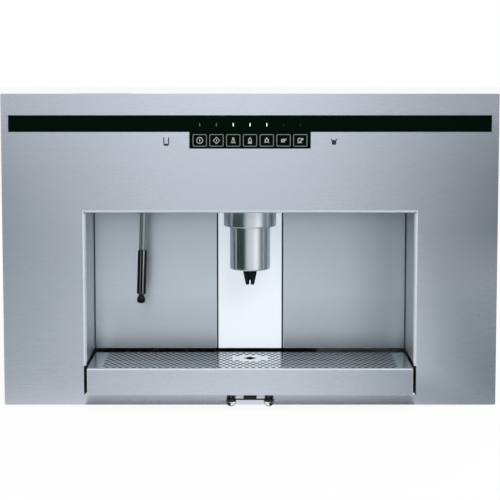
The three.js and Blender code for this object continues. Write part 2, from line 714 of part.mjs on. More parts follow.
// Socket that holds the ball: a flared ring under the ceiling and a cap over the ball.
function wandSocket() {
  const hold = WAND_BALL - WAND_BALL_ABOVE * 0.1;
  const ringTop = -WAND_BALL_ABOVE - SEAT_GAP;
  const ringFoot = ringTop - WAND_BALL_ABOVE;
  const capFloor = WALL_SHEET - WAND_BALL_ABOVE + SEAT_GAP;
  const inner = WAND_BALL + SEAT_GAP;
  const outer = inner + SOCKET_FLANGE;
  const roof = inner + SEAT_GAP;
  const wall = inner + WALL_SHEET;
  const ring = turned([
    [hold, ringTop], [hold + WAND_BALL_ABOVE + 1, ringFoot], [outer, ringFoot], [outer, ringTop],
    [hold, ringTop],
  ], 24);
  const cap = turned([
    [inner, capFloor], [outer, capFloor], [outer, capFloor + WALL_SHEET], [wall, capFloor + WALL_SHEET],
    [wall, roof + WALL_SHEET], [NIPPLE_RADIUS, roof + WALL_SHEET],
    [NIPPLE_RADIUS, roof + WALL_SHEET + NIPPLE_HEIGHT], [0, roof + WALL_SHEET + NIPPLE_HEIGHT],
    [0, roof], [inner, roof], [inner, capFloor],
  ], 24);
  return { ring, cap };
}

// Tube with its swivel ball, from the ball's centre downwards.
function wandTube() {
  const half = Math.asin(WAND_TUBE / WAND_BALL) * 180 / Math.PI;
  return turned([
    ...quarter(0, 0, WAND_BALL, 90, -90 + half, 8),
    [WAND_TUBE, -WAND_TUBE_LENGTH], [0, -WAND_TUBE_LENGTH],
  ], 16);
}

function wandGrip() {
  const top = -WAND_TUBE_LENGTH - SEAT_GAP;
  const bottom = top - WAND_GRIP_LENGTH;
  const round = WAND_GRIP / 5;
  return turned([
    [0, bottom], ...quarter(WAND_GRIP - round, bottom + round, round, -90, 0, 2),
    ...quarter(WAND_GRIP - round, top - round, round, 0, 90, 2), [0, top],
  ], 16);
}

function wandTip() {
  const top = -WAND_TUBE_LENGTH - WAND_GRIP_LENGTH - 2 * SEAT_GAP;
  const bottom = top - WAND_TIP_LENGTH;
  const shoulder = WAND_TIP_LENGTH * 0.55;
  return turned([
    [0, bottom + WAND_TIP], [WAND_BORE, bottom + WAND_TIP], [WAND_BORE, bottom],
    ...quarter(WAND_TIP - WAND_TIP / 2, bottom + WAND_TIP / 2, WAND_TIP / 2, -90, 0, 3),
    [WAND_TIP, bottom + shoulder], [WAND_NECK, bottom + shoulder + 2], [WAND_NECK, top], [0, top],
  ], 16);
}

function buildWand() {
  const pivot = groupAt(WAND_X, SPOUT_Y, ballZ);
  const { ring, cap } = wandSocket();
  add('wand_socket', cap, 'castMetal', pivot);
  add('wand_collar', ring, 'blackPlastic', pivot);
  const arm = groupAt(0, 0, 0, pivot);
  arm.rotation.y = THREE.MathUtils.degToRad(WAND_LEAN);
  add('wand_tube', wandTube(), 'polishedSteel', arm);
  add('wand_grip', wandGrip(), 'blackPlastic', arm);
  add('wand_tip', wandTip(), 'polishedSteel', arm);
}

// ---------------------------------------------------------------- drip tray
const trayHalf = TRAY_WIDTH / 2;
const basinFront = -TRAY_PROUD + TRAY_FRONT_THICKNESS + SEAT_GAP;
const gridBottom = trayTop - GRID_SHEET - GRID_SKIRT;
const rimTop = gridBottom - SEAT_GAP;
const rimBottom = rimTop - TRAY_WALL;
const basinHalf = trayHalf - TRAY_RIM;
const basinBottom = TRAY_BOTTOM + BASIN_INSET;

function trayBasin() {
  const rimHalf = trayHalf - BASIN_INSET;
  const rim = block(-rimHalf, rimHalf, basinFront, TRAY_BACK, rimBottom, rimTop);
  const tub = block(-basinHalf, basinHalf, basinFront, TRAY_BACK, basinBottom, rimTop);
  const inner = basinHalf - TRAY_WALL;
  const slope = TRAY_WALL * 2;
  const ring = (inset, z) => [
    [-inner + inset, basinFront + TRAY_WALL + inset, z], [inner - inset, basinFront + TRAY_WALL + inset, z],
    [inner - inset, TRAY_BACK - TRAY_WALL - inset, z], [-inner + inset, TRAY_BACK - TRAY_WALL - inset, z]];
  const hollow = loft([ring(slope, basinBottom + TRAY_WALL), ring(0, rimBottom), ring(0, rimTop + 1)]);
  return cut(join(rim, tub), hollow);
}

function trayFront() {
  const [front, back] = [-TRAY_PROUD, -TRAY_PROUD + TRAY_FRONT_THICKNESS];
  const r = TRAY_FRONT_ROUND;
  const profile = new THREE.Shape();
  profile.moveTo(back, TRAY_BOTTOM);
  profile.lineTo(back, trayTop);
  profile.absarc(front + r, trayTop - r, r, Math.PI / 2, Math.PI);
  profile.lineTo(front, TRAY_BOTTOM);
  return alongX(profile, -trayHalf, trayHalf, 4);
}

function diamond(x, y, half) {
  return polygon([[x - half, y], [x, y - half], [x + half, y], [x, y + half]]);
}

// Perforated sheet with its edges folded down: a staggered field of holes round a solid diamond
// with one drain hole.
function dripGrid() {
  const [front, back] = [basinFront, TRAY_BACK];
  const row = GRID_PITCH / 2;
  const reachX = trayHalf - GRID_SIDE_RIM - GRID_HOLE / 2;
  const [low, high] = [front + GRID_END_RIM + GRID_HOLE / 2, back - GRID_END_RIM - GRID_HOLE / 2];
  const rowsBelow = Math.floor((SPOUT_Y - low) / row);
  const rowsAbove = Math.floor((high - SPOUT_Y) / row);
  const columns = Math.floor(reachX / row);
  const holes = [diamond(0, SPOUT_Y, GRID_DRAIN)];
  for (let j = -rowsBelow; j <= rowsAbove; j += 1) {
    for (let i = -columns; i <= columns; i += 1) {
      const inField = Math.abs(i) + Math.abs(j) > (GRID_DIAMOND + GRID_HOLE / 2) / row;
      if ((i + j) % 2 === 0 && inField) {
        holes.push(diamond(i * row, SPOUT_Y + j * row, GRID_HOLE / 2));
      }
    }
  }
  const pan = cut(
    block(-trayHalf, trayHalf, front, back, gridBottom, trayTop),
    block(-trayHalf + GRID_SHEET, trayHalf - GRID_SHEET, front + GRID_SHEET, back - GRID_SHEET,
      gridBottom - 1, trayTop - GRID_SHEET));
  return cut(pan, mergeGeometries(holes.map((hole) => alongZ(hole, gridBottom - 1, trayTop + 1))));
}

// Bent sheet on the floor; the tray's rim slides on its ledge.
function trayRunner(side) {
  const ledgeTop = rimBottom - SEAT_GAP;
  const web = trayHalf + 1;
  const reach = web - RUNNER_LEDGE + WALL_SHEET;
  const profile = [
    [web, standZ], [web + RUNNER_FOOT, standZ], [web + RUNNER_FOOT, standZ + WALL_SHEET],
    [web + WALL_SHEET, standZ + WALL_SHEET], [web + WALL_SHEET, ledgeTop], [reach, ledgeTop],
    [reach, ledgeTop - WALL_SHEET], [web, ledgeTop - WALL_SHEET]];
  return alongY(polygon(profile.map(([x, z]) => [side * x, z])), casingFront, TRAY_BACK + WALL_SHEET);
}

const knobY = -KNOB_RADIUS - KNOB_SET_OUT;
const clipTop = basinBottom - SEAT_GAP;
const clipBottom = clipTop - CLIP_HEIGHT;
const knobZ = clipBottom - SEAT_GAP - KNOB_RADIUS;

// Black strap with two clips that carry the knobs.
function pullBar() {
  const [back, front] = [-1, -PULL_ROD - 1];
  const clips = SIDES.map(([, side]) => {
    const x = side * KNOB_SPREAD;
    return join(
      block(x - CLIP_WIDTH / 2, x + CLIP_WIDTH / 2, knobY - KNOB_NECK, back, clipBottom, clipTop),
      block(x - CLIP_WIDTH / 2, x + CLIP_WIDTH / 2, front, back, knobZ, clipTop));
  });
  const rod = block(-KNOB_SPREAD, KNOB_SPREAD, front, back, knobZ + PULL_ROD, knobZ + 2 * PULL_ROD);
  const hook = block(-PULL_BLOCK / 2, PULL_BLOCK / 2, front, back, knobZ + PULL_ROD, clipTop - PULL_ROD);
  return join(rod, hook, ...clips);
}

function pullKnob() {
  const neck = Math.acos(KNOB_NECK / KNOB_RADIUS) * 180 / Math.PI;
  return turned([
    ...quarter(0, 0, KNOB_RADIUS, -90, neck, 7), [KNOB_NECK, KNOB_RADIUS], [0, KNOB_RADIUS],
  ], 16);
}

function buildTray() {
  for (const [name, side] of SIDES) add(`tray_runner_${name}`, trayRunner(side), 'sheetSteel');
  add('tray_basin', trayBasin(), 'blackPlastic');
  add('tray_front', trayFront(), 'brushedSteel');
  add('drip_grid', dripGrid(), 'brushedSteel');
  add('tray_pull_bar', pullBar(), 'blackPlastic');
  for (const [name, side] of SIDES) {
    add(`pull_knob_${name}`, pullKnob(), 'polishedSteel', groupAt(side * KNOB_SPREAD, knobY, knobZ));
  }
}

// ---------------------------------------------------------------- water tank, left behind the recess
const tankLeft = -innerHalf + TANK_SIDE_CLEARANCE;
const tankRight = tankLeft + TANK_WIDTH;
const tankFront = moduleFront + TANK_SIDE_CLEARANCE;
const tankBack = tankFront + TANK_DEPTH;
const tankTop = coverTop;
const tankBottom = tankTop - TANK_HEIGHT;
const lidTop = tankTop + SEAT_GAP + TANK_LID;

function tankOutline(grow) {
  return roundedRectangle(tankLeft - grow, tankRight + grow, tankFront - grow, tankBack + grow,
    TANK_CORNER + grow);
}

function waterTank() {
  const shell = alongZ(tankOutline(0), tankBottom, tankTop, 4);
  const hollow = alongZ(tankOutline(-TANK_WALL), tankBottom + TANK_WALL, tankTop + 1, 4);
  return cut(shell, hollow);
}

// Lid with a finger hollow at its front. Its back edge is rounded about its hinge, which lies in
// the middle of its thickness; the outline trims its other edges.
function hingedLid(outline, [x0, x1], [front, back], [z0, z1], hollowDepth) {
  const r = (z1 - z0) / 2;
  const hinge = back - LID_HINGE_INSET - r;
  const profile = new THREE.Shape();
  profile.moveTo(front - 1, z0);
  profile.lineTo(hinge, z0);
  profile.absarc(hinge, z0 + r, r, -Math.PI / 2, Math.PI / 2);
  profile.lineTo(front - 1, z1);
  const hollow = rodZ(FINGER_HOLLOW, z1 - hollowDepth, z1 + 1, (x0 + x1) / 2,
    front + FINGER_HOLLOW * 1.2, 20);
  return cut(common(alongX(profile, x0 - 1, x1 + 1, 5), outline), hollow);
}

// Flap over the tank.
function tankLid() {
  const z = [tankTop + SEAT_GAP, lidTop];
  const outline = alongZ(tankOutline(-SEAT_GAP), z[0] - 1, z[1] + 1, 4);
  return hingedLid(outline, [tankLeft, tankRight], [tankFront, tankBack - SEAT_GAP], z, TANK_LID / 2);
}

// Folded stand under the tank, with the valve that opens its outlet.
function tankCradle() {
  const top = tankBottom - SEAT_GAP;
  const [x0, x1] = [tankLeft, tankRight];
  const stand = polygon([[x0, standZ], [x0 + CRADLE_SHEET, standZ], [x0 + CRADLE_SHEET, top - CRADLE_SHEET],
    [x1 - CRADLE_SHEET, top - CRADLE_SHEET], [x1 - CRADLE_SHEET, standZ], [x1, standZ],
    [x1, top], [x0, top]]);
  const valve = rodZ(VALVE_RADIUS, top - CRADLE_SHEET - VALVE_HEIGHT, top - CRADLE_SHEET / 2,
    (x0 + x1) / 2, tankBack - 3 * VALVE_RADIUS, 16);
  return join(alongY(stand, tankFront, tankBack), valve);
}

function buildWater() {
  add('water_tank', waterTank(), 'clearPlastic');
  add('tank_lid', tankLid(), 'greyPlastic');
  add('tank_cradle', tankCradle(), 'sheetSteel');
}

// ---------------------------------------------------------------- beans, grinder and grounds drawer
const drawerFrontX = casingHalf + SEAT_GAP;
const drawerLeft = casingHalf - DRAWER_LENGTH;
const drawerFront = moduleFront + DRAWER_SET_BACK;
const drawerBack = drawerFront + DRAWER_WIDTH;
const drawerBottom = railTop + DRAWER_ABOVE_RAIL;
const drawerTop = drawerBottom + DRAWER_HEIGHT;
const guideSide = 1;                                  // running clearance beside the drawer
const guideTop = drawerTop + guideSide + GUIDE_SHEET;
const hopperY = drawerFront + DRAWER_WIDTH / 2;
const hopperTop = coverTop;
const hopperBottom = hopperTop - HOPPER_HEIGHT;
const grinderTop = hopperBottom - SEAT_GAP;
const grinderBottom = grinderTop - GRINDER_HEIGHT;
const hopperLidTop = hopperTop + SEAT_GAP + HOPPER_LID;

function hopperRing(half, z) {
  const trim = half / 5;
  return [[-half, trim - half], [trim - half, -half], [half - trim, -half], [half, trim - half],
    [half, half - trim], [half - trim, half], [trim - half, half], [-half, half - trim]]
    .map(([x, y]) => [hopperX + x, hopperY + y, z]);
}

// Funnel with a straight collar at the top.
function beanHopper() {
  const [top, foot] = [HOPPER_TOP / 2, HOPPER_FOOT / 2];
  const collar = hopperTop - HOPPER_HEIGHT / 3;
  const shell = loft([hopperRing(foot, hopperBottom), hopperRing(top, collar), hopperRing(top, hopperTop)]);
  const hollow = loft([
    hopperRing(foot - HOPPER_WALL, hopperBottom - 1), hopperRing(foot - HOPPER_WALL, hopperBottom),
    hopperRing(top - HOPPER_WALL, collar), hopperRing(top - HOPPER_WALL, hopperTop + 1)]);
  return cut(shell, hollow);
}

function hopperLid() {
  const half = HOPPER_TOP / 2 - SEAT_GAP;
  const z = [hopperTop + SEAT_GAP, hopperLidTop];
  const outline = loft([hopperRing(half, z[0] - 1), hopperRing(half, z[1] + 1)]);
  return hingedLid(outline, [hopperX - half, hopperX + half], [hopperY - half, hopperY + half], z,
    HOPPER_LID / 2);
}

// Burr housing on its motor, with the chute to the brewing group.
function grinder() {
  const foot = guideTop + SEAT_GAP;
  const [r, c] = [GRINDER_RADIUS, GRINDER_CHAMFER];
  const housing = turned([
    [0, grinderBottom], [r - c, grinderBottom], [r, grinderBottom + c],
    [r, grinderTop - c], [r - c, grinderTop], [0, grinderTop],
  ], 28);
  const motor = rodZ(GRINDER_MOTOR_RADIUS, foot, grinderBottom + 1, 0, 0, 24);
  const base = rodZ(GRINDER_MOTOR_RADIUS + c, foot, foot + GUIDE_SHEET, 0, 0, 24);
  const chuteFoot = grinderBottom + c + GUIDE_SHEET;
  const chute = block(-r - CHUTE_WIDTH / 2, -r / 2, -CHUTE_WIDTH / 2, CHUTE_WIDTH / 2,
    chuteFoot, chuteFoot + CHUTE_HEIGHT);
  return join(housing, motor, base, chute).translate(hopperX, hopperY, 0);
}

// Folded tunnel that carries the drawer on two ledges and the grinder on its roof.
function drawerGuide() {
  const inner = drawerBack + guideSide;
  const near = drawerFront - guideSide;
  const ledge = drawerBottom - SEAT_GAP;
  const s = GUIDE_SHEET;
  return alongX(polygon([
    [near - s, standZ], [near, standZ], [near, ledge - s], [near + GUIDE_LEDGE, ledge - s],
    [near + GUIDE_LEDGE, ledge], [near, ledge], [near, guideTop - s], [inner, guideTop - s],
    [inner, ledge], [inner - GUIDE_LEDGE, ledge], [inner - GUIDE_LEDGE, ledge - s], [inner, ledge - s],
    [inner, standZ], [inner + s, standZ], [inner + s, guideTop], [near - s, guideTop],
  ]), drawerLeft, innerHalf - CASING_SHEET - SEAT_GAP);
}

function groundsDrawer() {
  const [x0, x1] = [drawerLeft, drawerFrontX + DRAWER_FRONT / 2];
  const w = DRAWER_WALL;
  const tub = cut(
    block(x0, x1, drawerFront, drawerBack, drawerBottom, drawerTop),
    block(x0 + w, drawerFrontX - w, drawerFront + w, drawerBack - w, drawerBottom + w, drawerTop + 1));
  const over = DRAWER_FRONT_OVERLAP;
  const face = block(drawerFrontX, drawerFrontX + DRAWER_FRONT, drawerFront - over, drawerBack + over,
    drawerBottom - over + 1, drawerTop + over);
  const middle = (drawerFront + drawerBack) / 2;
  const pullZ = drawerTop - over - DRAWER_FRONT / 2;
  const pull = block(drawerFrontX, drawerFrontX + 4 * DRAWER_FRONT, middle - DRAWER_PULL / 2,
    middle + DRAWER_PULL / 2, pullZ, pullZ + DRAWER_FRONT);
  return join(tub, face, pull);
}

function buildBeans() {
  add('bean_hopper', beanHopper(), 'clearPlastic');
  add('hopper_lid', hopperLid(), 'greyPlastic');
  add('grinder', grinder(), 'castMetal');
  add('drawer_guide', drawerGuide(), 'sheetSteel');
  add('grounds_drawer', groundsDrawer(), 'blackPlastic');
}

// ---------------------------------------------------------------- brewing, heating, pumping, power
const brewFront = moduleFront;
const brewY = brewFront + BREW_DEPTH / 2;
const brewTop = standZ + BREW_HEIGHT;

// Brewing group: cylinder with its head and spindle between two cheeks.
function brewUnit() {
  const half = BREW_WIDTH / 2;
  const back = brewFront + BREW_DEPTH;
  const headZ = brewTop - BREW_HEAD;
  const cylinderZ = standZ + BREW_STROKE;
  const inset = BREW_TAPER + BREW_FOOT / 2;
  const outline = polygon([[brewFront, standZ], [back, standZ], [back - BREW_TAPER, brewTop],
    [brewFront + BREW_TAPER, brewTop]]);
  const foot = block(-half, half, brewFront, back, standZ, standZ + BREW_FOOT);
  const cheeks = [-half, half - BREW_CHEEK].map((x) => alongX(outline, x, x + BREW_CHEEK));
  const head = block(-half, half, brewFront + inset, back - inset, headZ, brewTop);
  const cylinder = rodZ(BREW_CYLINDER, cylinderZ, headZ + 1, 0, brewY, 28);
  const base = rodZ(BREW_CYLINDER + BREW_FOOT, cylinderZ, cylinderZ + 2 * BREW_FOOT, 0, brewY, 28);
  const spindle = rodZ(BREW_SPINDLE, standZ + BREW_FOOT / 2, cylinderZ + 1, 0, brewY, 12);
  const axle = rodX(BREW_SPINDLE, -half + 1, half - 1, back - BREW_DEPTH / 4,
    standZ + BREW_STROKE / 2, 12);
  const nipple = rodZ(NIPPLE_RADIUS, brewTop - 1, brewTop + NIPPLE_HEIGHT, 0, brewY, 12);
  return join(foot, ...cheeks, head, cylinder, base, spindle, axle, nipple);
}

const boilerX = (tankRight - BREW_WIDTH / 2) / 2;
const boilerTop = standZ + BOILER_LEGS + BOILER_HEIGHT;
const boilerY = moduleFront + BOILER_SET_BACK + BOILER_DEPTH / 2;

// Cast heater block on four legs, with ribs round it.
function boiler() {
  const [w, d, r] = [BOILER_WIDTH / 2, BOILER_DEPTH / 2, BOILER_LEG_RADIUS];
  const z0 = standZ + BOILER_LEGS;
  const body = block(-w, w, -d, d, z0, boilerTop);
  const reach = BOILER_RIB / 2;
  const pitch = BOILER_HEIGHT / BOILER_RIBS;
  const ribs = Array.from({ length: BOILER_RIBS }, (_, i) => {
    const z = z0 + i * pitch + (pitch - BOILER_RIB) / 2;
    return block(-w - reach, w + reach, -d - reach, d + reach, z, z + BOILER_RIB);
  });
  const legs = [[-1, -1], [1, -1], [-1, 1], [1, 1]].map(([sx, sy]) =>
    rodZ(r, standZ, z0 + 1, sx * (w - 2 * r), sy * d * 2 / 3, 8));
  const nipple = rodZ(NIPPLE_RADIUS, boilerTop - 1, boilerTop + NIPPLE_HEIGHT, 0, 0, 12);
  return join(body, ...ribs, ...legs, nipple).translate(boilerX, boilerY, 0);
}

// Vibrating pump lying on two rubber saddles under the tank; shares run along its length.
function pump() {
  const [r, mid] = [PUMP_RADIUS, (tankFront + tankBack) / 2];
  const axisZ = standZ + r + PUMP_SADDLE;
  const at = (share) => mid + PUMP_LENGTH * share;
  const coil = rodY(r, at(-0.35), at(0.22), 0, axisZ, 20);
  const ends = rodY(r / 2, at(-0.5), at(0.5), 0, axisZ, 14);
  const yoke = block(-r * 1.1, r * 1.1, at(-0.28), at(0.15), axisZ - r / 2, axisZ + r / 2);
  const saddles = [-0.33, 0.13].map((share) =>
    block(-r / 2, r / 2, at(share), at(share) + PUMP_SADDLE * 0.75, standZ, axisZ));
  return join(coil, ends, yoke, ...saddles).translate((tankLeft + tankRight) / 2, 0, 0);
}

// Upright power board behind the brewing group, with transformer, relays and capacitors.
function powerBoard() {
  const half = POWER_BOARD_WIDTH / 2;
  const y = casingBack - CASING_SHEET - POWER_BOARD_STANDOFF;
  const z1 = standZ + POWER_BOARD_HEIGHT;
  const margin = RELAY * 0.75;
  const card = block(-half, half, y, y + BOARD_THICKNESS, standZ, z1);
  const brackets = SIDES.map(([, side]) => block(
    side * (half - BRACKET) - BRACKET / 2, side * (half - BRACKET) + BRACKET / 2,
    y, casingBack - CASING_SHEET - SEAT_GAP, standZ, standZ + BRACKET / 4));
  const transformer = block(-half + margin, -half + margin + TRANSFORMER, y - TRANSFORMER * 0.75,
    y + WELD, standZ + margin, standZ + margin + TRANSFORMER * 0.9);
  const relays = [0, 1, 2].map((i) => block(i * RELAY * 1.3, i * RELAY * 1.3 + RELAY, y - RELAY,
    y + WELD, standZ + margin, standZ + margin + RELAY * 1.25));
  const capacitors = [0, 1, 2].map((i) => rodY(CAPACITOR_RADIUS, y - TRANSFORMER * 0.6, y + WELD,
    i * RELAY * 1.3 + CAPACITOR_RADIUS, z1 - RELAY, 12));
  return join(card, ...brackets, transformer, ...relays, ...capacitors);
}

// Recessed mains inlet in the back panel, with three pins.
function mainsInlet() {
  const [w, h, wall] = [INLET_WIDTH / 2, INLET_HEIGHT / 2, INLET_WALL];
  const front = casingBack - INLET_DEPTH;
  const rim = casingBack + SEAT_GAP;
  const outer = [w + INLET_FLANGE, h + INLET_FLANGE];
  const body = block(-w, w, front, rim + INLET_FLANGE / 4, -h, h);
  const flange = block(-outer[0], outer[0], rim, rim + INLET_FLANGE / 2, -outer[1], outer[1]);
  const well = block(-w + wall, w - wall, front + 2 * wall, rim + INLET_FLANGE, -h + wall, h - wall);
  const pins = [-1, 0, 1].map((i) => {
    const [x, z] = [i * INLET_WIDTH / 5, i === 0 ? wall : -wall / 2];
    return block(x - 1, x + 1, front + 2 * wall - 1, casingBack - wall, z - 2, z + 2);
  });
  return join(cut(join(body, flange), well), ...pins).translate(inletX, 0, INLET_Z);
}

function buildInside() {
  add('brew_unit', brewUnit(), 'blackPlastic');
  add('boiler', boiler(), 'castMetal');
  add('pump', pump(), 'castMetal');
  add('power_board', powerBoard(), 'board');
  add('mains_inlet', mainsInlet(), 'blackPlastic');
  const spoutNipple = housingTop + NIPPLE_HEIGHT + SEAT_GAP;
  const brewNipple = brewTop + NIPPLE_HEIGHT + SEAT_GAP;
  const over = Math.max(spoutNipple, brewNipple) + 6 * HOSE_RADIUS;
  add('coffee_hose', hose([
    [0, SPOUT_Y, spoutNipple], [0, SPOUT_Y, spoutNipple + 3 * HOSE_RADIUS],
    [0, (SPOUT_Y + brewY) / 2, over],
    [0, brewY, brewNipple + 3 * HOSE_RADIUS], [0, brewY, brewNipple],
  ], HOSE_RADIUS, 22), 'silicone');
}

// ---------------------------------------------------------------- casing
// Slots side by side, to be cut through a panel.
function vents(count, start, slotAt) {
  return Array.from({ length: count }, (_, i) => slotAt(start + i * VENT_PITCH));
}

function sidePanel(side) {
  const [a, b] = [side * (casingHalf - CASING_SHEET), side * casingHalf];
  const [x0, x1] = [Math.min(a, b), Math.max(a, b)];
  const panel = block(x0, x1, casingFront, casingBack, FLOOR_HEIGHT, coverZ - SEAT_GAP);
  const high = coverZ - VENT_MARGIN;
  const slots = vents(SIDE_VENTS, casingBack - (SIDE_VENTS + 1) * VENT_PITCH, (y) =>
    block(x0 - 1, x1 + 1, y, y + VENT_WIDTH, high - VENT_LENGTH, high));
  const doorway = side > 0
    ? [block(x0 - 1, x1 + 1, drawerFront - guideSide, drawerBack + guideSide, drawerBottom - guideSide,
      drawerTop + guideSide)]
    : [];
  return cut(panel, ...slots, ...doorway);
}

function chassisFloor() {
  const [h, s] = [innerHalf, CASING_SHEET];
  const [low, high] = [FLOOR_HEIGHT, floorTop + FLOOR_FLANGE];
  return alongY(polygon([[-h, low], [h, low], [h, high], [h - s, high], [h - s, floorTop],
    [-h + s, floorTop], [-h + s, high], [-h, high]]), casingFront, casingBack);
}

function backPanel() {
  const half = innerHalf - CASING_SHEET - SEAT_GAP;
  const panel = block(-half, half, casingBack - CASING_SHEET, casingBack,
    floorTop + SEAT_GAP, coverZ - SEAT_GAP);
  const high = coverZ - VENT_MARGIN;
  const slots = vents(BACK_VENTS, -BACK_VENTS * VENT_PITCH / 2, (x) =>
    block(x, x + VENT_WIDTH, casingBack - CASING_SHEET - 1, casingBack + 1, high - VENT_LENGTH, high));
  const inlet = block(inletX - INLET_WIDTH / 2 - SEAT_GAP, inletX + INLET_WIDTH / 2 + SEAT_GAP,
    casingBack - CASING_SHEET - 1, casingBack + 1, INLET_Z - INLET_HEIGHT / 2 - SEAT_GAP,
    INLET_Z + INLET_HEIGHT / 2 + SEAT_GAP);
  return cut(panel, ...slots, inlet);
}

function topCover() {
  const cover = block(-casingHalf, casingHalf, casingFront, casingBack, coverZ, coverTop);
  const tank = alongZ(tankOutline(TANK_HOLE_CLEARANCE), coverZ - 1, coverTop + 1, 4);
  const half = HOPPER_TOP / 2 + TANK_HOLE_CLEARANCE;
  const hopper = loft([hopperRing(half, coverZ - 1), hopperRing(half, coverTop + 1)]);
  const back = casingBack - VENT_MARGIN;
  const slots = vents(TOP_VENTS, -TOP_VENTS * VENT_PITCH / 2, (x) =>
    block(x, x + VENT_WIDTH, back - VENT_LENGTH, back, coverZ - 1, coverTop + 1));
  return cut(cover, tank, hopper, ...slots);
}

// Ring that ties the face plate, the recess and the casing together. It overlaps the plate's folded
// edges at top and bottom; beside them it stops short, so that they can lie on the cabinet.
function frontFrame() {
  const half = PLATE_WIDTH / 2 - PLATE_SHEET - PLATE_LIP - SEAT_GAP;
  const frame = block(-half, half, frameFront, frameFront + FRAME_SHEET, FLOOR_HEIGHT, coverZ);
  const reach = recessHalf + WALL_SHEET + SEAT_GAP;
  const opening = block(-reach, reach, frameFront - 1, frameFront + FRAME_SHEET + 1,
    openingBottom, ceilingTop + SEAT_GAP);
  const round = housingRadius + SPOUT_CLEARANCE + WALL_SHEET;
  const notch = block(-round, round, frameFront - 1, frameFront + FRAME_SHEET + 1,
    ceilingZ, housingTop + NIPPLE_HEIGHT);
  return cut(frame, opening, notch);
}

function buildCasing() {
  add('front_frame', frontFrame(), 'sheetSteel');
  add('chassis_floor', chassisFloor(), 'sheetSteel');
  for (const [name, side] of SIDES) add(`side_panel_${name}`, sidePanel(side), 'sheetSteel');
  add('back_panel', backPanel(), 'sheetSteel');
  add('top_cover', topCover(), 'sheetSteel');
}

// ---------------------------------------------------------------- telescopic runners and base
// Runner sections are drawn with depth u from the outer face towards the casing.
function railShape(side, points) {
  return polygon(points.map(([u, z]) => [side * (railOutside - u), z]));
}

function channel(u0, u1, z0, z1) {
  const s = RAIL_SHEET;
  return [[u0, z0], [u1, z0], [u1, z0 + s], [u0 + s, z0 + s], [u0 + s, z1 - s], [u1, z1 - s],
    [u1, z1], [u0, z1]];
}

const railMiddle = { z0: RAIL_ABOVE_SHELF + RAIL_SHEET + RAIL_CLEARANCE, u0: RAIL_SHEET + RAIL_CLEARANCE };
const railInner = { z0: railMiddle.z0 + RAIL_SHEET + RAIL_CLEARANCE };
const lipOutside = RAIL_WIDTH - RAIL_SHEET - 2 * RAIL_CLEARANCE;

// Fixed channel on a foot that lies on the base; lips hold the middle runner in.
function railOuter(side) {
  const [s, low, top] = [RAIL_SHEET, RAIL_ABOVE_SHELF, railTop];
  const foot = BASE_SHEET + SEAT_GAP;
  const inLip = lipOutside - RAIL_LIP;
  return alongY(railShape(side, [
    [0, foot], [RAIL_FOOT, foot], [RAIL_FOOT, foot + s], [s, foot + s], [s, low], [lipOutside, low],
    [lipOutside, low + s + RAIL_LIP], [inLip, low + s + RAIL_LIP], [inLip, low + s], [s, low + s],
    [s, top - s], [inLip, top - s], [inLip, top - s - RAIL_LIP], [lipOutside, top - s - RAIL_LIP],
    [lipOutside, top], [0, top],
  ]), railFront, railFront + RAIL_LENGTH);
}

function railMiddleMember(side) {
  const { u0, z0 } = railMiddle;
  const z1 = RAIL_ABOVE_SHELF + railTop - z0;
  const section = railShape(side, channel(u0, lipOutside - RAIL_LIP - SEAT_GAP, z0, z1));
  const bar = alongY(section, railFront, railFront + RAIL_LENGTH);
  const mid = (z0 + z1) / 2;
  const slots = [0.2, 0.5, 0.8].map((share) => block(
    side > 0 ? railOutside - u0 - RAIL_SHEET - 1 : -railOutside + u0 - 1,
    side > 0 ? railOutside - u0 + 1 : -railOutside + u0 + RAIL_SHEET + 1,
    railFront + RAIL_LENGTH * share - 18, railFront + RAIL_LENGTH * share + 18, mid - 5, mid + 5));
  return cut(bar, ...slots);
}

function railInnerMember(side) {
  const { z0 } = railInner;
  const z1 = RAIL_ABOVE_SHELF + railTop - z0;
  const from = railMiddle.u0 + RAIL_SHEET + 2 * RAIL_CLEARANCE;
  const mirrored = channel(0, RAIL_WIDTH - from, z0, z1).map(([u, z]) => [RAIL_WIDTH - u, z]);
  return alongY(railShape(side, mirrored), railFront, railFront + RAIL_LENGTH);
}

// Base sheet with a folded edge at the back, two pressed ribs and screw holes.
function mountingBase() {
  const sheet = alongX(polygon([[baseFront, 0], [baseBack, 0], [baseBack, BASE_LIP],
    [baseBack - BASE_SHEET, BASE_LIP], [baseBack - BASE_SHEET, BASE_SHEET], [baseFront, BASE_SHEET],
  ]), -baseHalf, baseHalf);
  const [rows, columns] = [3, 4];
  const cutOuts = [];
  for (let i = 0; i < columns; i += 1) {
    for (let j = 0; j < rows; j += 1) {
      const x = (i - (columns - 1) / 2) * BASE_HOLE_PITCH;
      const y = baseFront + baseDepth * (j + 0.5) / rows;
      cutOuts.push(block(x - BASE_HOLE / 2, x + BASE_HOLE / 2, y - BASE_HOLE / 4, y + BASE_HOLE / 4,
        -1, BASE_SHEET + 1));
    }
  }
  const ribs = [1, 2].map((i) => block(
    -baseHalf + 2 * RAIL_FOOT, baseHalf - 2 * RAIL_FOOT,
    baseFront + baseDepth * i / rows - 5, baseFront + baseDepth * i / rows + 5,
    BASE_SHEET / 2, BASE_SHEET + BASE_RIB));
  const screws = [[-1, 0.06], [1, 0.06], [-1, 0.94], [1, 0.94]].map(([side, share]) =>
    rodZ(3, -1, BASE_SHEET + 1, side * (baseHalf - RAIL_FOOT - 12), baseFront + baseDepth * share, 10));
  return cut(join(sheet, ...ribs), ...cutOuts, ...screws);
}

function buildRunners() {
  for (const [name, side] of SIDES) {
    add(`rail_outer_${name}`, railOuter(side), 'sheetSteel');
    add(`rail_middle_${name}`, railMiddleMember(side), 'sheetSteel');
    add(`rail_inner_${name}`, railInnerMember(side), 'sheetSteel');
  }
  add('mounting_base', mountingBase(), 'sheetSteel');
}

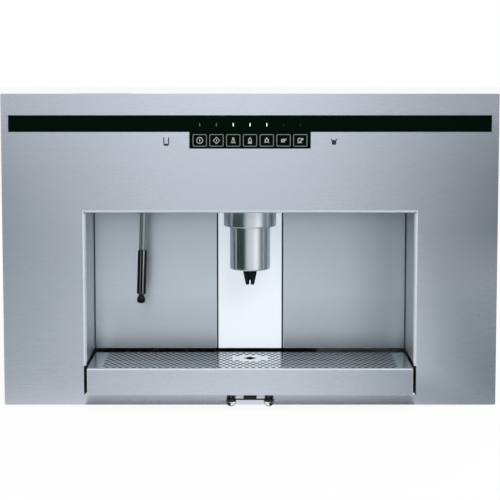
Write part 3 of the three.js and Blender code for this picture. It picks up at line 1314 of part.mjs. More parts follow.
// ---------------------------------------------------------------- assembly
buildFront();
buildRecess();
buildSpout();
buildWand();
buildTray();
buildWater();
buildBeans();
buildInside();
buildCasing();
buildRunners();

machine.position.y = -(baseFront + baseDepth / 2);
machine.updateMatrixWorld(true);

export default machine;
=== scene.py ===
"""Builds the looks of a built-in coffee machine round its fixed frame of solids."""

import json
import math

import bpy
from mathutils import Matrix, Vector


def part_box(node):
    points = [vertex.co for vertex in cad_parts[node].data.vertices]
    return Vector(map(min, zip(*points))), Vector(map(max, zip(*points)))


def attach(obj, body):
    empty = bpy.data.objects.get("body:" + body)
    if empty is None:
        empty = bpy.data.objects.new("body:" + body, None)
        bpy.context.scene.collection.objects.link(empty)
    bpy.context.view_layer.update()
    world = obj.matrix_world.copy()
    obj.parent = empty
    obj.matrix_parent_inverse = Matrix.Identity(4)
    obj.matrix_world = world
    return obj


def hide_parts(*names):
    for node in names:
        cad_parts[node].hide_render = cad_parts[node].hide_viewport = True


bl_info = {
    "name": "Built-in Coffee Machine",
    "version": (1, 0, 0),
    "blender": (4, 5, 0),
    "location": "3D View > Sidebar > Coffee Machine",
    "description": "Steel front, lit cup recess, spout, wand, drip tray and casing of a built-in coffee machine",
    "category": "Object",
}

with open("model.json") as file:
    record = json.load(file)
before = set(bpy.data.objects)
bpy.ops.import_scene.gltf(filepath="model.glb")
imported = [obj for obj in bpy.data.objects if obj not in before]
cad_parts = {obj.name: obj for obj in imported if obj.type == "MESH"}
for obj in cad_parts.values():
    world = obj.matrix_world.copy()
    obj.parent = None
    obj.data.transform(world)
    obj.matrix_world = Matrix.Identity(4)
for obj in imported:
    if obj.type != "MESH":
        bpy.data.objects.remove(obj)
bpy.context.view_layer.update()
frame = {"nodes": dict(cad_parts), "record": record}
NODES = frame["nodes"]
BODY_OF = {
    node: body
    for body, nodes in frame["record"]["behaviour"]["bodies"].items()
    for node in nodes
}

MM = 0.001
PLATE_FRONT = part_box("face_plate")[0].y          # front face of the steel plate
SIDES = (("left", -1), ("right", 1))
UP = (0, 0, 1)
SPOUT_BEHIND = 45 * MM                           # the spout's axis, behind the face plate's front
WAND_PIVOT = (-131 * MM, PLATE_FRONT + 45 * MM, 238 * MM)
WAND_LEAN = 1.93                                 # degrees aside
WAND_SLEEVE = 5.65 * MM                          # radius
SMOOTH_ANGLE = 32                                # degrees; sharper edges stay sharp
WELD = 1e-6                                      # points nearer than this are one


def tone(code):
    """A colour written as six hexadecimal digits, in linear light."""
    parts = [int(code[i:i + 2], 16) / 255 for i in (0, 2, 4)]
    return tuple(c / 12.92 if c <= 0.04045 else ((c + 0.055) / 1.055) ** 2.4 for c in parts)


# ---------------------------------------------------------------- sizes and colours
def length(name, value, description):
    return bpy.props.FloatProperty(
        name=name, description=description, default=value, unit="LENGTH", subtype="DISTANCE", precision=5)


def colour(name, code, description):
    return bpy.props.FloatVectorProperty(
        name=name, description=description, default=tone(code), subtype="COLOR", min=0, max=1)


class CoffeeSizes(bpy.types.PropertyGroup):
    """Sizes of what the solids leave out."""

    print_depth: length("Print height", 0.00006, "How far a printed sign stands proud")
    key_line: length("Key outline", 0.0008, "Width of the line round a key")
    hole_pitch: length("Hole pitch", 0.008, "Distance between the drip grid's holes along a row")
    hole: length("Hole", 0.0054, "Width of a hole of the drip grid")
    grid_rim: length("Grid rim", 0.0136, "Plain steel at the drip grid's left and right")
    grid_sheet: length("Grid sheet", 0.0005, "Thickness of the drip grid's steel")
    edge: length("Edge", 0.0005, "Rounding of the steel plate's edges")


class CoffeeFinishes(bpy.types.PropertyGroup):
    """Colours of the finishes."""

    steel: colour("Brushed steel", "D3DAE6", "Plate and tray")
    # the recess steel is a lighter copy of the plate's steel: painted light from the lit recess
    recess: colour("Recess steel", "DAE4EE", "Back of the cup recess")
    wall: colour("Recess wall", "DCE0E2", "Side walls of the cup recess")
    glass: colour("Glass", "000E07", "Display window and keys")
    line: colour("Key outline", "868886", "Outlines of the keys")
    sign: colour("Key sign", "D6DADC", "Signs on the keys")
    glow: colour("Light panel", "EAF2FA", "Lit panel behind the spout")


# ---------------------------------------------------------------- shader expressions
class Value:
    """A shader socket that takes part in sums like a number."""

    def __init__(self, finish, socket):
        self.finish, self.socket = finish, socket

    def _sum(self, operation, first, second):
        node = self.finish.node("ShaderNodeMath", {"operation": operation}, {0: first, 1: second})
        return Value(self.finish, node.outputs[0])

    def __add__(self, other):
        return self._sum("ADD", self, other)

    def __sub__(self, other):
        return self._sum("SUBTRACT", self, other)

    def __rsub__(self, other):
        return self._sum("SUBTRACT", other, self)

    def __mul__(self, other):
        return self._sum("MULTIPLY", self, other)

    def __truediv__(self, other):
        return self._sum("DIVIDE", self, other)

    def __pow__(self, other):
        return self._sum("POWER", self, other)

    def above(self, limit):
        return self._sum("GREATER_THAN", self, limit)

    def below(self, limit):
        return self._sum("LESS_THAN", self, limit)

    def most(self, other):
        return self._sum("MAXIMUM", self, other)

    __radd__ = __add__
    __rmul__ = __mul__


class Finish:
    """A material with one principled shader, and the nodes that vary it over the surface."""

    def __init__(self, name, **constants):
        self.material = bpy.data.materials.new(name)
        self.material.use_nodes = True
        self.tree = self.material.node_tree
        self.tree.nodes.clear()
        self.surface = self.node("ShaderNodeBsdfPrincipled")
        self.output = self.node("ShaderNodeOutputMaterial", inputs={"Surface": self.surface.outputs[0]})
        self.set(**constants)

    @classmethod
    def for_tree(cls, tree):
        """The same node methods on another tree, such as the world's."""
        finish = cls.__new__(cls)
        finish.tree = tree
        tree.nodes.clear()
        return finish

    def node(self, kind, settings=None, inputs=None):
        """A new node, with its settings first and then the values or links of its sockets."""
        node = self.tree.nodes.new(kind)
        for key, value in (settings or {}).items():
            if key == "stops":
                ramp = node.color_ramp
                while len(ramp.elements) > 1:
                    ramp.elements.remove(ramp.elements[-1])
                for i, (place, shade) in enumerate(value):
                    stop = ramp.elements[0] if i == 0 else ramp.elements.new(place)
                    stop.position = place
                    stop.color = (*shade, 1)
            else:
                setattr(node, key, value)
        for key, value in (inputs or {}).items():
            self.feed(node.inputs[key], value)
        return node

    def feed(self, socket, value):
        if isinstance(value, Value):
            value = value.socket
        if isinstance(value, bpy.types.NodeSocket):
            self.tree.links.new(value, socket)
        elif socket.type == "RGBA" and len(value) == 3:
            socket.default_value = (*value, 1)
        else:
            socket.default_value = value

    def set(self, **values):
        for key, value in values.items():
            self.feed(self.surface.inputs[key.replace("_", " ")], value)

    def place(self, stretch, shift=(0, 0, 0)):
        source = self.node("ShaderNodeTexCoord").outputs["Object"]
        return self.node("ShaderNodeMapping", {"vector_type": "POINT"},
                         {"Vector": source, "Scale": stretch, "Location": shift}).outputs[0]

    def noise(self, stretch, detail, roughness, shift=(0, 0, 0)):
        """Cloudy noise from 0 to 1; stretch is how many features go in a metre, each way."""
        node = self.node("ShaderNodeTexNoise", {"noise_dimensions": "3D"},
                         {"Vector": self.place(stretch, shift=shift), "Scale": 1.0, "Detail": detail,
                          "Roughness": roughness})
        return Value(self, node.outputs["Fac"])

    def ramp(self, value, stops):
        """A colour that runs through the stops as the value goes from 0 to 1."""
        return self.node("ShaderNodeValToRGB", {"stops": stops}, {"Fac": value}).outputs["Color"]

    def mix(self, share, first, second):
        node = self.node("ShaderNodeMix", {"data_type": "RGBA", "blend_type": "MIX"})
        for key, value in ((0, share), (6, first), (7, second)):
            self.feed(node.inputs[key], value)
        return node.outputs[2]

    def table(self, value, levels):
        """A level that follows a table of places and levels."""
        low, high = levels[0][0], levels[-1][0]
        colour = self.ramp(self.step(value, low, high),
                           [((place - low) / (high - low), (level,) * 3) for place, level in levels])
        return Value(self, self.node("ShaderNodeSeparateColor", inputs={"Color": colour}).outputs[0])

    def step(self, value, start, end):
        """Goes from 0 to 1 as the value goes from start to end."""
        return Value(self, self.node("ShaderNodeMapRange", inputs={
            "Value": value, "From Min": start, "From Max": end}).outputs[0])

    def rays(self, *kinds):
        """Masks that are 1 for rays of each kind."""
        path = self.node("ShaderNodeLightPath")
        return [Value(self, path.outputs[f"Is {kind} Ray"]) for kind in kinds]

    def angle(self, across, ahead):
        """The angle of a place from straight ahead, in radians."""
        return across._sum("ARCTAN2", across, ahead)

    def axis(self, letter):
        """How far along X, Y or Z a point lies, in metres."""
        source = self.node("ShaderNodeTexCoord").outputs["Object"]
        return Value(self, self.node("ShaderNodeSeparateXYZ", inputs={"Vector": source}).outputs[letter])

    def bump(self, height, distance, strength):
        node = self.node("ShaderNodeBump",
                         inputs={"Height": height, "Distance": distance, "Strength": strength})
        self.set(Normal=node.outputs[0])


def shaded(base, share):
    """A colour made darker, or lighter where share is above 1."""
    return tuple(min(1.0, c * share) for c in base)


GRAIN, GRAIN_CONTRAST = 2600, 0.045              # brushed lines in a metre, and how far they vary the colour
PAINTED_SHADE_TONE = (0.0, 0.03, 0.035)                   # the colour of the shade painted on the steel
# how much of the recess's back the painted shade leaves unshaded, by height
RECESS_UNSHADED = ((0.052, 0.36), (0.06, 0.5), (0.064, 0.6), (0.068, 0.7), (0.0716, 0.76), (0.0754, 0.81), (0.083, 0.87),
               (0.095, 0.9), (0.124, 0.96), (0.15, 0.93), (0.175, 0.88), (0.2, 0.84), (0.22, 0.78))
RECESS_CORNER_SHADE = (0.12, 0.198, 0.35)              # between these places across, painted shade takes this share of what is unshaded
# how much painted shade lies on the plate: by height, times by place across
PLATE_SHADE_HEIGHTS = ((0.1, 0.0), (0.125, 0.15), (0.15, 0.25), (0.17, 0.5), (0.19, 0.75), (0.215, 1.0), (0.26, 0.97),
                 (0.287, 0.85), (0.31, 0.68), (0.335, 0.5), (0.36, 0.0))
PLATE_SHADE_ENDS = ((-0.297, 0.2), (-0.26, 0.13), (-0.2, 0.08), (-0.12, 0.02), (0.1, 0.04), (0.15, 0.1), (0.18, 0.14),
              (0.214, 0.21), (0.243, 0.3), (0.273, 0.4), (0.297, 0.47))
# the wand's two painted highlight lines: left, middle and right across its sleeve, whose half width is 1, and how
# strong
WAND_PAINTED_HIGHLIGHTS = ((0.2, 0.38, 0.56, 0.85), (-0.42, -0.27, -0.12, 0.3))


def recess_painted_shade(finish):
    """How much painted shade darkens the back of the recess towards its foot, its top and its right corner."""
    start, end, share = RECESS_CORNER_SHADE
    corner = finish.step(finish.axis("X"), start, end) * share
    return 1 - finish.table(finish.axis("Z"), RECESS_UNSHADED) * (1 - corner)


def plate_painted_shade(finish):
    """How much painted shade darkens the plate at half height towards its ends."""
    return finish.table(finish.axis("Z"), PLATE_SHADE_HEIGHTS) * finish.table(finish.axis("X"), PLATE_SHADE_ENDS)


def brushed(name, base, rough, aniso=0.8, flat=False, film=None):
    """Steel with fine lines along X, on an upright face or on a sheet that lies flat."""
    finish = Finish(name, Metallic=1.0, Anisotropic=aniso, Anisotropic_Rotation=0.25)
    fine = (60, GRAIN, 60) if flat else (60, 60, GRAIN)
    lines = finish.noise(fine, 3.0, 0.6)
    bands = finish.noise(tuple(s / 3.1 for s in fine), 2.0, 0.5, shift=(3.1, 1.7, 5.3))
    cloud = finish.noise((7, 7, 7), 2.0, 0.5)
    tint = lines * 0.6 + bands * 0.25 + cloud * 0.15
    colour = finish.ramp(tint, [(0.3, shaded(base, 1 - GRAIN_CONTRAST)), (0.7, shaded(base, 1 + GRAIN_CONTRAST))])
    # painted shade: where film is given, the colour darkens towards the painted shade tone by its share
    if film:
        colour = finish.mix(film(finish), colour, PAINTED_SHADE_TONE)
    finish.set(Base_Color=colour, Roughness=rough + (lines - 0.5) * 0.10 + (cloud - 0.5) * 0.05)
    finish.bump(lines * 0.7 + bands * 0.3, 0.00002, 0.2)
    return finish.material


def wand_painted_highlights(name, base, highlight_tone):
    """Black lacquer with two highlight lines painted along its front in bright metal."""
    finish = Finish(name, Specular_IOR_Level=0.12)
    lean = math.tan(math.radians(WAND_LEAN))
    across = (finish.axis("X") - WAND_PIVOT[0] + (WAND_PIVOT[2] - finish.axis("Z")) * lean) * (1 / WAND_SLEEVE)
    facing = (WAND_PIVOT[1] - finish.axis("Y")).above(0.0)
    painted_lines = 0
    # painted highlight: two lines of bright metal on the sleeve's front
    for left, middle, right, depth in WAND_PAINTED_HIGHLIGHTS:
        painted_lines = finish.step(across, left, middle) * (1 - finish.step(across, middle, right)) * depth + painted_lines
    highlight_share = painted_lines * facing
    smear = finish.noise((60, 60, 25), 3.0, 0.6)
    finish.set(Base_Color=finish.mix(highlight_share, base, highlight_tone), Metallic=highlight_share, Roughness=0.1 + smear * 0.06)
    return finish.material


def edge_painted_highlight(name, base):
    """Bent or cut edge of the steel, with a painted highlight: a light, barely metallic colour."""
    finish = Finish(name, Metallic=0.15)
    wear = finish.noise((400, 400, 400), 2.0, 0.6)
    finish.set(Base_Color=finish.ramp(wear, [(0.3, shaded(base, 0.94)), (0.7, base)]),
               Roughness=0.32 + wear * 0.1)
    finish.bump(wear, 0.00001, 0.2)
    return finish.material


def polished(name, base, rough):
    """Bright metal with faint smears and hairlines."""
    finish = Finish(name, Metallic=1.0)
    smear = finish.noise((60, 60, 25), 3.0, 0.6)
    hair = finish.noise((30, 30, 4000), 2.0, 0.5)
    finish.set(Base_Color=finish.ramp(smear, [(0.3, shaded(base, 0.97)), (0.75, base)]),
               Roughness=rough + smear * 0.05 + hair * 0.03)
    finish.bump(hair, 0.00001, 0.1)
    return finish.material


def gloss(name, base, rough, specular):
    """Smooth glass or lacquer with faint dust."""
    finish = Finish(name, Specular_IOR_Level=specular)
    dust = finish.noise((900, 900, 900), 2.0, 0.6)
    film = finish.noise((40, 40, 40), 3.0, 0.55)
    finish.set(Base_Color=finish.ramp(dust, [(0.35, base), (0.85, tuple(c + 0.0015 for c in base))]),
               Roughness=rough + film * 0.05)
    finish.bump(film, 0.00002, 0.1)
    return finish.material


def moulded(name, base, rough, scale=1800):
    """Plastic, print or casting with a fine moulded grain."""
    finish = Finish(name)
    fine = finish.noise((scale, scale, scale), 2.0, 0.6)
    cloud = finish.noise((18, 18, 18), 3.0, 0.6)
    finish.set(Base_Color=finish.ramp(fine * 0.6 + cloud * 0.4, [(0.3, shaded(base, 0.95)), (0.7, shaded(base, 1.05))]),
               Roughness=rough + (cloud - 0.5) * 0.16)
    finish.bump(fine, 0.00003, 0.5)
    return finish.material


def galvanised(name, base, rough):
    """Zinc coated sheet with its crystal pattern."""
    finish = Finish(name, Metallic=1.0)
    crystals = finish.node("ShaderNodeTexVoronoi", {"feature": "F1", "distance": "EUCLIDEAN"},
                           {"Vector": finish.place((110, 110, 110)), "Scale": 1.0, "Randomness": 1.0})
    flake = Value(finish, finish.node("ShaderNodeSeparateColor", inputs={
        "Color": crystals.outputs["Color"]}).outputs[0])
    fine = finish.noise((700, 700, 700), 3.0, 0.6)
    cloud = finish.noise((9, 9, 9), 2.0, 0.5)
    finish.set(
        Base_Color=finish.ramp(flake * 0.55 + fine * 0.25 + cloud * 0.2,
                               [(0.2, shaded(base, 0.86)), (0.8, shaded(base, 1.08))]),
        Roughness=rough + (flake - 0.5) * 0.12 + (fine - 0.5) * 0.08)
    finish.bump(flake * 0.6 + fine * 0.4, 0.00003, 0.35)
    return finish.material


def clear_plastic(name, base):
    """Smoked clear plastic, which lets some of what lies behind it through."""
    finish = Finish(name, IOR=1.5)
    film = finish.noise((25, 25, 60), 3.0, 0.6)
    facing = Value(finish, finish.node("ShaderNodeLayerWeight", inputs={"Blend": 0.35}).outputs["Facing"])
    finish.set(Base_Color=finish.ramp(film, [(0.3, shaded(base, 0.92)), (0.7, base)]),
               Roughness=0.12 + film * 0.08, Alpha=0.42 + facing * 0.35)
    finish.bump(film, 0.00004, 0.2)
    return finish.material


def glowing(name, base, glow, strength):
    """Opal sheet or lamp that gives light."""
    finish = Finish(name, Emission_Strength=strength)
    cloud = finish.noise((14, 14, 9), 2.0, 0.5)
    finish.set(Base_Color=base,
               Emission_Color=finish.ramp(cloud, [(0.25, shaded(glow, 0.96)), (0.75, glow)]),
               Roughness=0.35 + cloud * 0.1)
    return finish.material


def make_finishes():
    """Every finish of the machine, by the name that the pieces use."""
    colours = bpy.context.scene.coffee_finishes
    steel, glass = tuple(colours.steel), tuple(colours.glass)
    return {
        "plate": brushed("brushed_steel_plate", steel, 0.285, film=plate_painted_shade),
        "tray_steel": brushed("brushed_steel_tray", steel, 0.285),
        "grid_steel": brushed("brushed_steel_grid", tone("E6EAEC"), 0.2, aniso=0.3, flat=True),
        "recess": brushed("brushed_steel_recess", tuple(colours.recess), 0.4, film=recess_painted_shade),
        "wall": brushed("brushed_steel_wall", tuple(colours.wall), 0.4),
        "edge": edge_painted_highlight("steel_edge_painted_highlight", tone("EEF3FA")),
        "painted_shadow": moulded("black_painted_shadow", tone("0A0C0C"), 0.6),
        "spout_steel": polished("spout_steel", tone("E2EAF1"), 0.08),
        # the wand's tube is a darker copy of the polished steel: painted shade
        "wand_steel": polished("wand_steel", tone("9AA6A8"), 0.12),
        "dark_chrome": polished("dark_chrome", tone("222A30"), 0.04),
        "chrome": polished("polished_steel", tone("E4E6EA"), 0.08),
        "wand_painted_highlights": wand_painted_highlights("black_wand_sleeve", tone("030405"), tone("D8E2EA")),
        "glass": gloss("black_glass", glass, 0.2, 0.02),
        "key_glass": gloss("black_key_glass", glass, 0.25, 0.02),
        "line": moulded("printed_line", tuple(colours.line), 0.5),
        "sign": moulded("printed_sign", tuple(colours.sign), 0.5),
        "dark_sign": moulded("printed_dark_sign", tone("1C2224"), 0.5),
        "opal": glowing("opal_panel", tone("C8CCD0"), tuple(colours.glow), 0.55),
        "lamp": glowing("display_lamp", tone("E0E4E8"), tone("F4F8FF"), 0.7),
        # the lamps that are off still glow faintly: painted light
        "off_lamp": glowing("display_lamp_off_painted_glow", tone("101C1A"), tone("405058"), 0.12),
        "dim_lamp": glowing("display_lamp_dim", tone("303840"), tone("8090A0"), 0.35),
        "black_plastic": moulded("black_plastic", tone("0E1011"), 0.38),
        "black_gloss": gloss("black_gloss_plastic", tone("030405"), 0.08, 0.32),
        "seam": moulded("shadow_seam", tone("2A3236"), 0.7),
        "grey_plastic": moulded("grey_plastic", tone("6A6E72"), 0.45),
        "clear": clear_plastic("clear_plastic", tone("B8C4C8")),
        "board": moulded("circuit_board", tone("1E4A2C"), 0.4, scale=600),
        "cast": moulded("cast_metal", tone("8C9094"), 0.5, scale=900),
        "silicone": moulded("silicone", tone("D8D8D0"), 0.55),
        "zinc": galvanised("zinc_sheet", tone("B4BABE"), 0.42),
        "rail": galvanised("rail_steel", tone("A0A6AC"), 0.3),
        "screw": polished("screw_zinc", tone("C0C4C8"), 0.25),
    }


FINISHES = {}


# ---------------------------------------------------------------- modelling helpers
def deselect():
    active = bpy.context.view_layer.objects.active
    if active is not None and active.mode != "OBJECT":
        bpy.ops.object.mode_set(mode="OBJECT")
    bpy.ops.object.select_all(action="DESELECT")


def take(obj):
    """Makes one object the only one selected."""
    deselect()
    obj.select_set(True)
    bpy.context.view_layer.objects.active = obj
    return obj


def new_piece(name, scale=(1, 1, 1)):
    """Names the object that an operator has just added, and puts its place and scale in its mesh."""
    obj = bpy.context.view_layer.objects.active
    obj.name = obj.data.name = name
    obj.scale = scale
    bpy.ops.object.transform_apply(location=True, rotation=True, scale=True)
    return obj


def edit_all(obj):
    """Opens one object in edit mode, with all of it selected."""
    take(obj)
    bpy.ops.object.mode_set(mode="EDIT")
    bpy.ops.mesh.select_all(action="SELECT")


def leave_edit():
    bpy.ops.object.mode_set(mode="OBJECT")


def face_outwards():
    """Turns all faces of a closed form outwards and leaves edit mode."""
    bpy.ops.mesh.select_all(action="SELECT")
    bpy.ops.mesh.normals_make_consistent(inside=False)
    leave_edit()


def pick(obj, test, kind="FACE"):
    """Selects the faces or edges of obj in edit mode that pass a test."""
    leave_edit()
    mesh = obj.data
    for group in (mesh.vertices, mesh.edges, mesh.polygons):
        group.foreach_set("select", [False] * len(group))
    for item in {"FACE": mesh.polygons, "EDGE": mesh.edges}[kind]:
        item.select = test(item)
    bpy.ops.object.mode_set(mode="EDIT")
    bpy.ops.mesh.select_mode(type=kind)


def modify(obj, kind, **settings):
    """Adds a modifier and applies it at once."""
    take(obj)
    modifier = obj.modifiers.new(kind.lower(), kind)
    for key, value in settings.items():
        setattr(modifier, key, value)
    bpy.ops.object.modifier_apply(modifier=modifier.name)
    return obj


def round_edges(obj, width, segments=2, angle=35):
    return modify(obj, "BEVEL", width=width, segments=segments, limit_method="ANGLE",
                  angle_limit=math.radians(angle), use_clamp_overlap=True)


def finish_piece(obj, body, look, stands_for=()):
    """Shades a piece, gives it its finish and hangs it on its body."""
    take(obj)
    bpy.ops.object.shade_smooth_by_angle(angle=math.radians(SMOOTH_ANGLE))
    modify(obj, "WEIGHTED_NORMAL", mode="FACE_AREA", weight=50, keep_sharp=True)
    obj.data.materials.clear()
    obj.data.materials.append(FINISHES[look])
    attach(obj, body)
    if stands_for:
        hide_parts(*stands_for)
    return obj


def paint_edge_highlights(obj, limit=0.985):
    """Paints a highlight on the faces that turn round an edge, square to no axis, with the edge finish."""
    obj.data.materials.append(FINISHES["edge"])
    for face in obj.data.polygons:
        if max(abs(c) for c in face.normal) < limit:
            face.material_index = 1


def dress(node, look, edge, name=None, segments=2):
    """A CAD solid's own shape as one skin, with soft edges."""
    obj = bpy.data.objects.new(name or f"{node}_skin", NODES[node].data.copy())
    bpy.context.scene.collection.objects.link(obj)
    edit_all(obj)
    bpy.ops.mesh.remove_doubles(threshold=WELD)
    bpy.ops.mesh.dissolve_limited(angle_limit=math.radians(0.6))
    leave_edit()
    round_edges(obj, edge, segments)
    return finish_piece(obj, BODY_OF[node], look, (node,))


def pointing(way):
    """The turn that points a form's top a way."""
    return Vector(way).to_track_quat("Z", "Y").to_euler()


def slab(name, low, high):
    """A block between two corners, to be shaped further."""
    low, high = Vector(low), Vector(high)
    deselect()
    bpy.ops.mesh.primitive_cube_add(size=1, location=(low + high) / 2)
    return new_piece(name, high - low)


def turned(name, origin, axis, profile, segments):
    """A turned form: rings of (radius, height) along an axis from an origin, closed at both ends."""
    origin, axis = Vector(origin), Vector(axis).normalized()
    deselect()
    radius, height = profile[0]
    bpy.ops.mesh.primitive_circle_add(vertices=segments, radius=radius, fill_type="NGON",
                                      location=origin + axis * height, rotation=pointing(axis))
    obj = new_piece(name)
    edit_all(obj)
    for ring_radius, ring_height in profile[1:]:
        bpy.ops.mesh.extrude_region_move(
            TRANSFORM_OT_translate={"value": axis * (ring_height - height)})
        share = ring_radius / radius
        bpy.ops.transform.resize(value=(share, share, share), center_override=origin + axis * ring_height)
        radius, height = ring_radius, ring_height
    face_outwards()
    return obj


def arc(centre_r, centre_h, radius, start, end, steps=6):
    """Profile points on a round; angles in degrees from the outward direction."""
    angles = [math.radians(start + (end - start) * i / steps) for i in range(steps + 1)]
    return [(centre_r + radius * math.cos(a), centre_h + radius * math.sin(a)) for a in angles]


def joined(name, pieces):
    """Several pieces made into one object."""
    take(pieces[0])
    for piece in pieces[1:]:
        piece.select_set(True)
    if len(pieces) > 1:
        bpy.ops.object.join()
    pieces[0].name = pieces[0].data.name = name
    return pieces[0]


def copies(name, source, places):
    """Copies of one form, each at its place and turn, made into one object; the form itself goes."""
    made = []
    for place, turn in places:
        take(source)
        bpy.ops.object.duplicate()
        obj = bpy.context.view_layer.objects.active
        obj.location, obj.rotation_euler = place, turn
        made.append(new_piece("copy"))
    take(source)
    bpy.ops.object.delete()
    return joined(name, made)


# ---------------------------------------------------------------- prints on a flat front
def flat_circle(centre, radius, corners, tall=1.0, turn=0.0):
    """A filled outline that faces the front: a circle, an oval or a polygon with few corners."""
    deselect()
    bpy.ops.mesh.primitive_circle_add(vertices=corners, radius=radius, fill_type="NGON",
                                      location=centre, rotation=(math.pi / 2, turn, 0))
    return new_piece("print", (1, tall, 1))


def flat_box(centre, width, height, corner=0.0, turn=0.0):
    """A filled rectangle that faces the front, with rounded corners."""
    deselect()
    bpy.ops.mesh.primitive_plane_add(size=1, location=centre, rotation=(math.pi / 2, turn, 0))
    obj = new_piece("print", (width, height, 1))
    if corner:
        edit_all(obj)
        bpy.ops.mesh.bevel(offset=corner, segments=4, affect="VERTICES")
        leave_edit()
    return obj


def hollow(obj, line):
    """Keeps only a line along the outline."""
    edit_all(obj)
    bpy.ops.mesh.inset(thickness=line, depth=0)
    bpy.ops.mesh.delete(type="FACE")
    leave_edit()
    return obj


def printed(name, strokes, body, look):
    """A print of one or more flat strokes, given its thickness towards the front."""
    obj = joined(name, strokes)
    edit_all(obj)
    depth = bpy.context.scene.coffee_sizes.print_depth
    bpy.ops.mesh.extrude_region_move(TRANSFORM_OT_translate={"value": (0, -depth, 0)})
    face_outwards()
    return finish_piece(obj, body, look)


class Strokes:
    """The flat strokes of a sign, in millimetres from a point on the front that carries it."""

    def __init__(self, x, y, z):
        self.origin = (x, y, z)
        self.made = []

    def place(self, x, z):
        return Vector((self.origin[0] + x * MM, self.origin[1], self.origin[2] + z * MM))

    def ring(self, x, z, radius, line, tall=1.0, corners=32, turn=0.0):
        self.made.append(hollow(flat_circle(self.place(x, z), radius * MM, corners, tall, turn), line * MM))

    def dot(self, x, z):
        self.made.append(flat_circle(self.place(x, z), 0.6 * MM, 12))

    def bar(self, x, z, width, height, corner=0.0):
        self.made.append(flat_box(self.place(x, z), width * MM, height * MM, corner * MM))

    def line(self, x0, z0, x1, z1, width):
        self.made.append(flat_box(self.place((x0 + x1) / 2, (z0 + z1) / 2), math.hypot(x1 - x0, z1 - z0) * MM,
                                  width * MM, turn=-math.atan2(z1 - z0, x1 - x0)))

    def cup(self, z, wide, high):
        """A cup with its handle and saucer."""
        self.ring(-0.8, z, wide / 2, 0.75, tall=high / wide, corners=20)
        self.ring(wide / 2, z + high * 0.2, 1.3, 0.6, corners=16)
        self.bar(-0.8, z - high / 2 - 0.6, wide + 0.6, 0.6)


def key_sign(number, x, y, z):
    """The strokes of one key's sign."""
    sign = Strokes(x, y, z)
    if number == 1:
        sign.ring(0, 0, 3.9, 0.65)
        sign.bar(0, 0, 0.8, 3.4)
    elif number == 2:
        sign.ring(0, 0, 4.25, 0.55, corners=4, turn=math.pi / 2)
        sign.bar(0, 0, 0.8, 2.8)
    elif number == 3:
        for way in (-1, 0, 1):
            sign.line(way * 0.7, 2.4, way * 2.0, -2.2, 0.5)
        sign.bar(0, 2.9, 2.4, 0.7)
        sign.bar(0, -2.8, 5.6, 0.6)
    elif number == 4:
        sign.ring(0, 0.2, 2.2, 0.7)
        sign.dot(0, 3.2)
        sign.ring(0, -3.0, 2.5, 0.55, tall=0.42)
    elif number == 5:
        sign.ring(0, -0.1, 2.4, 0.85)
        sign.dot(0, 3.0)
        for way in (-1, 1):
            sign.line(way * 1.9, -2.2, way * 2.7, -3.1, 0.55)
    elif number == 6:
        sign.cup(0.3, 4.2, 3.0)
    else:
        sign.cup(0.4, 5.0, 5.2)
    return sign.made


# ---------------------------------------------------------------- operators: the front
class COFFEE_OT_face_plate(bpy.types.Operator):
    """Brushed steel plate with its bent edges"""

    bl_idname = "coffee.face_plate"
    bl_label = "Face plate"

    def execute(self, context):
        edge = context.scene.coffee_sizes.edge
        plate = dress("face_plate", "plate", edge, "steel_face_plate", segments=3)
        grid_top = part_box("drip_grid")[1].z
        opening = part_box("recess_wall_right")[1].x
        inside, outside, margin = 1.2 * MM, 2 * MM, 4 * MM

        def bend(face):
            return opening - inside < abs(face.center.x) < opening + outside

        pick(plate, bend)
        bpy.ops.mesh.bisect(plane_co=(0, 0, grid_top), plane_no=UP)
        leave_edit()
        # painted highlight on the bent and cut edges, except near the plate's outer edges
        paint_edge_highlights(plate)
        # the bend beside the tray, below the grid, is black: a painted shadow
        plate.data.materials.append(FINISHES["painted_shadow"])
        low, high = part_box("face_plate")
        for face in plate.data.polygons:
            x, z = abs(face.center.x), face.center.z
            if x > high.x - margin or z > high.z - margin or z < low.z + margin:
                face.material_index = 0
            elif bend(face) and z < grid_top and face.material_index == 1:
                face.material_index = 2
        return {"FINISHED"}


KEY_MIDDLE, LAMP_MIDDLE = 0.3225, 0.3412         # heights of the signs on the keys and of the lamps over them
KEY_OUTLINE = (16.8 * MM, 14.7 * MM, 1.6 * MM)   # width, height and corner
# the lamp over each key: finish, width and height in millimetres
KEY_LAMPS = (("dim_lamp", 1.1, 3.9),) * 2 + (("lamp", 1.1, 3.9),) * 3 + (("off_lamp", 0.8, 2.4),) * 2


class COFFEE_OT_display(bpy.types.Operator):
    """Black glass band with its lamps, keys and signs"""

    bl_idname = "coffee.display"
    bl_label = "Display"

    def execute(self, context):
        edge, line = 0.25 * MM, context.scene.coffee_sizes.key_line
        dress("display_window", "glass", edge, "display_glass")
        glass_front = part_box("display_window")[0].y
        for number, (look, wide, tall) in enumerate(KEY_LAMPS, 1):
            low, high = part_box(f"key_{number}")
            x, y, key = (low.x + high.x) / 2, low.y, f"push_key_{number}"
            dress(f"key_{number}", "key_glass", edge, f"key_cap_{number}")
            outline = hollow(flat_box(Vector((x, y, KEY_MIDDLE)), *KEY_OUTLINE), line)
            printed(f"key_outline_{number}", [outline], key, "line")
            printed(f"key_sign_{number}", key_sign(number, x, y, KEY_MIDDLE), key, "sign")
            lamp = Strokes(x, glass_front, LAMP_MIDDLE)
            lamp.bar(0, 0, wide, tall, 0.4)
            printed(f"display_lamp_{number}", lamp.made, "machine", look)
        return {"FINISHED"}


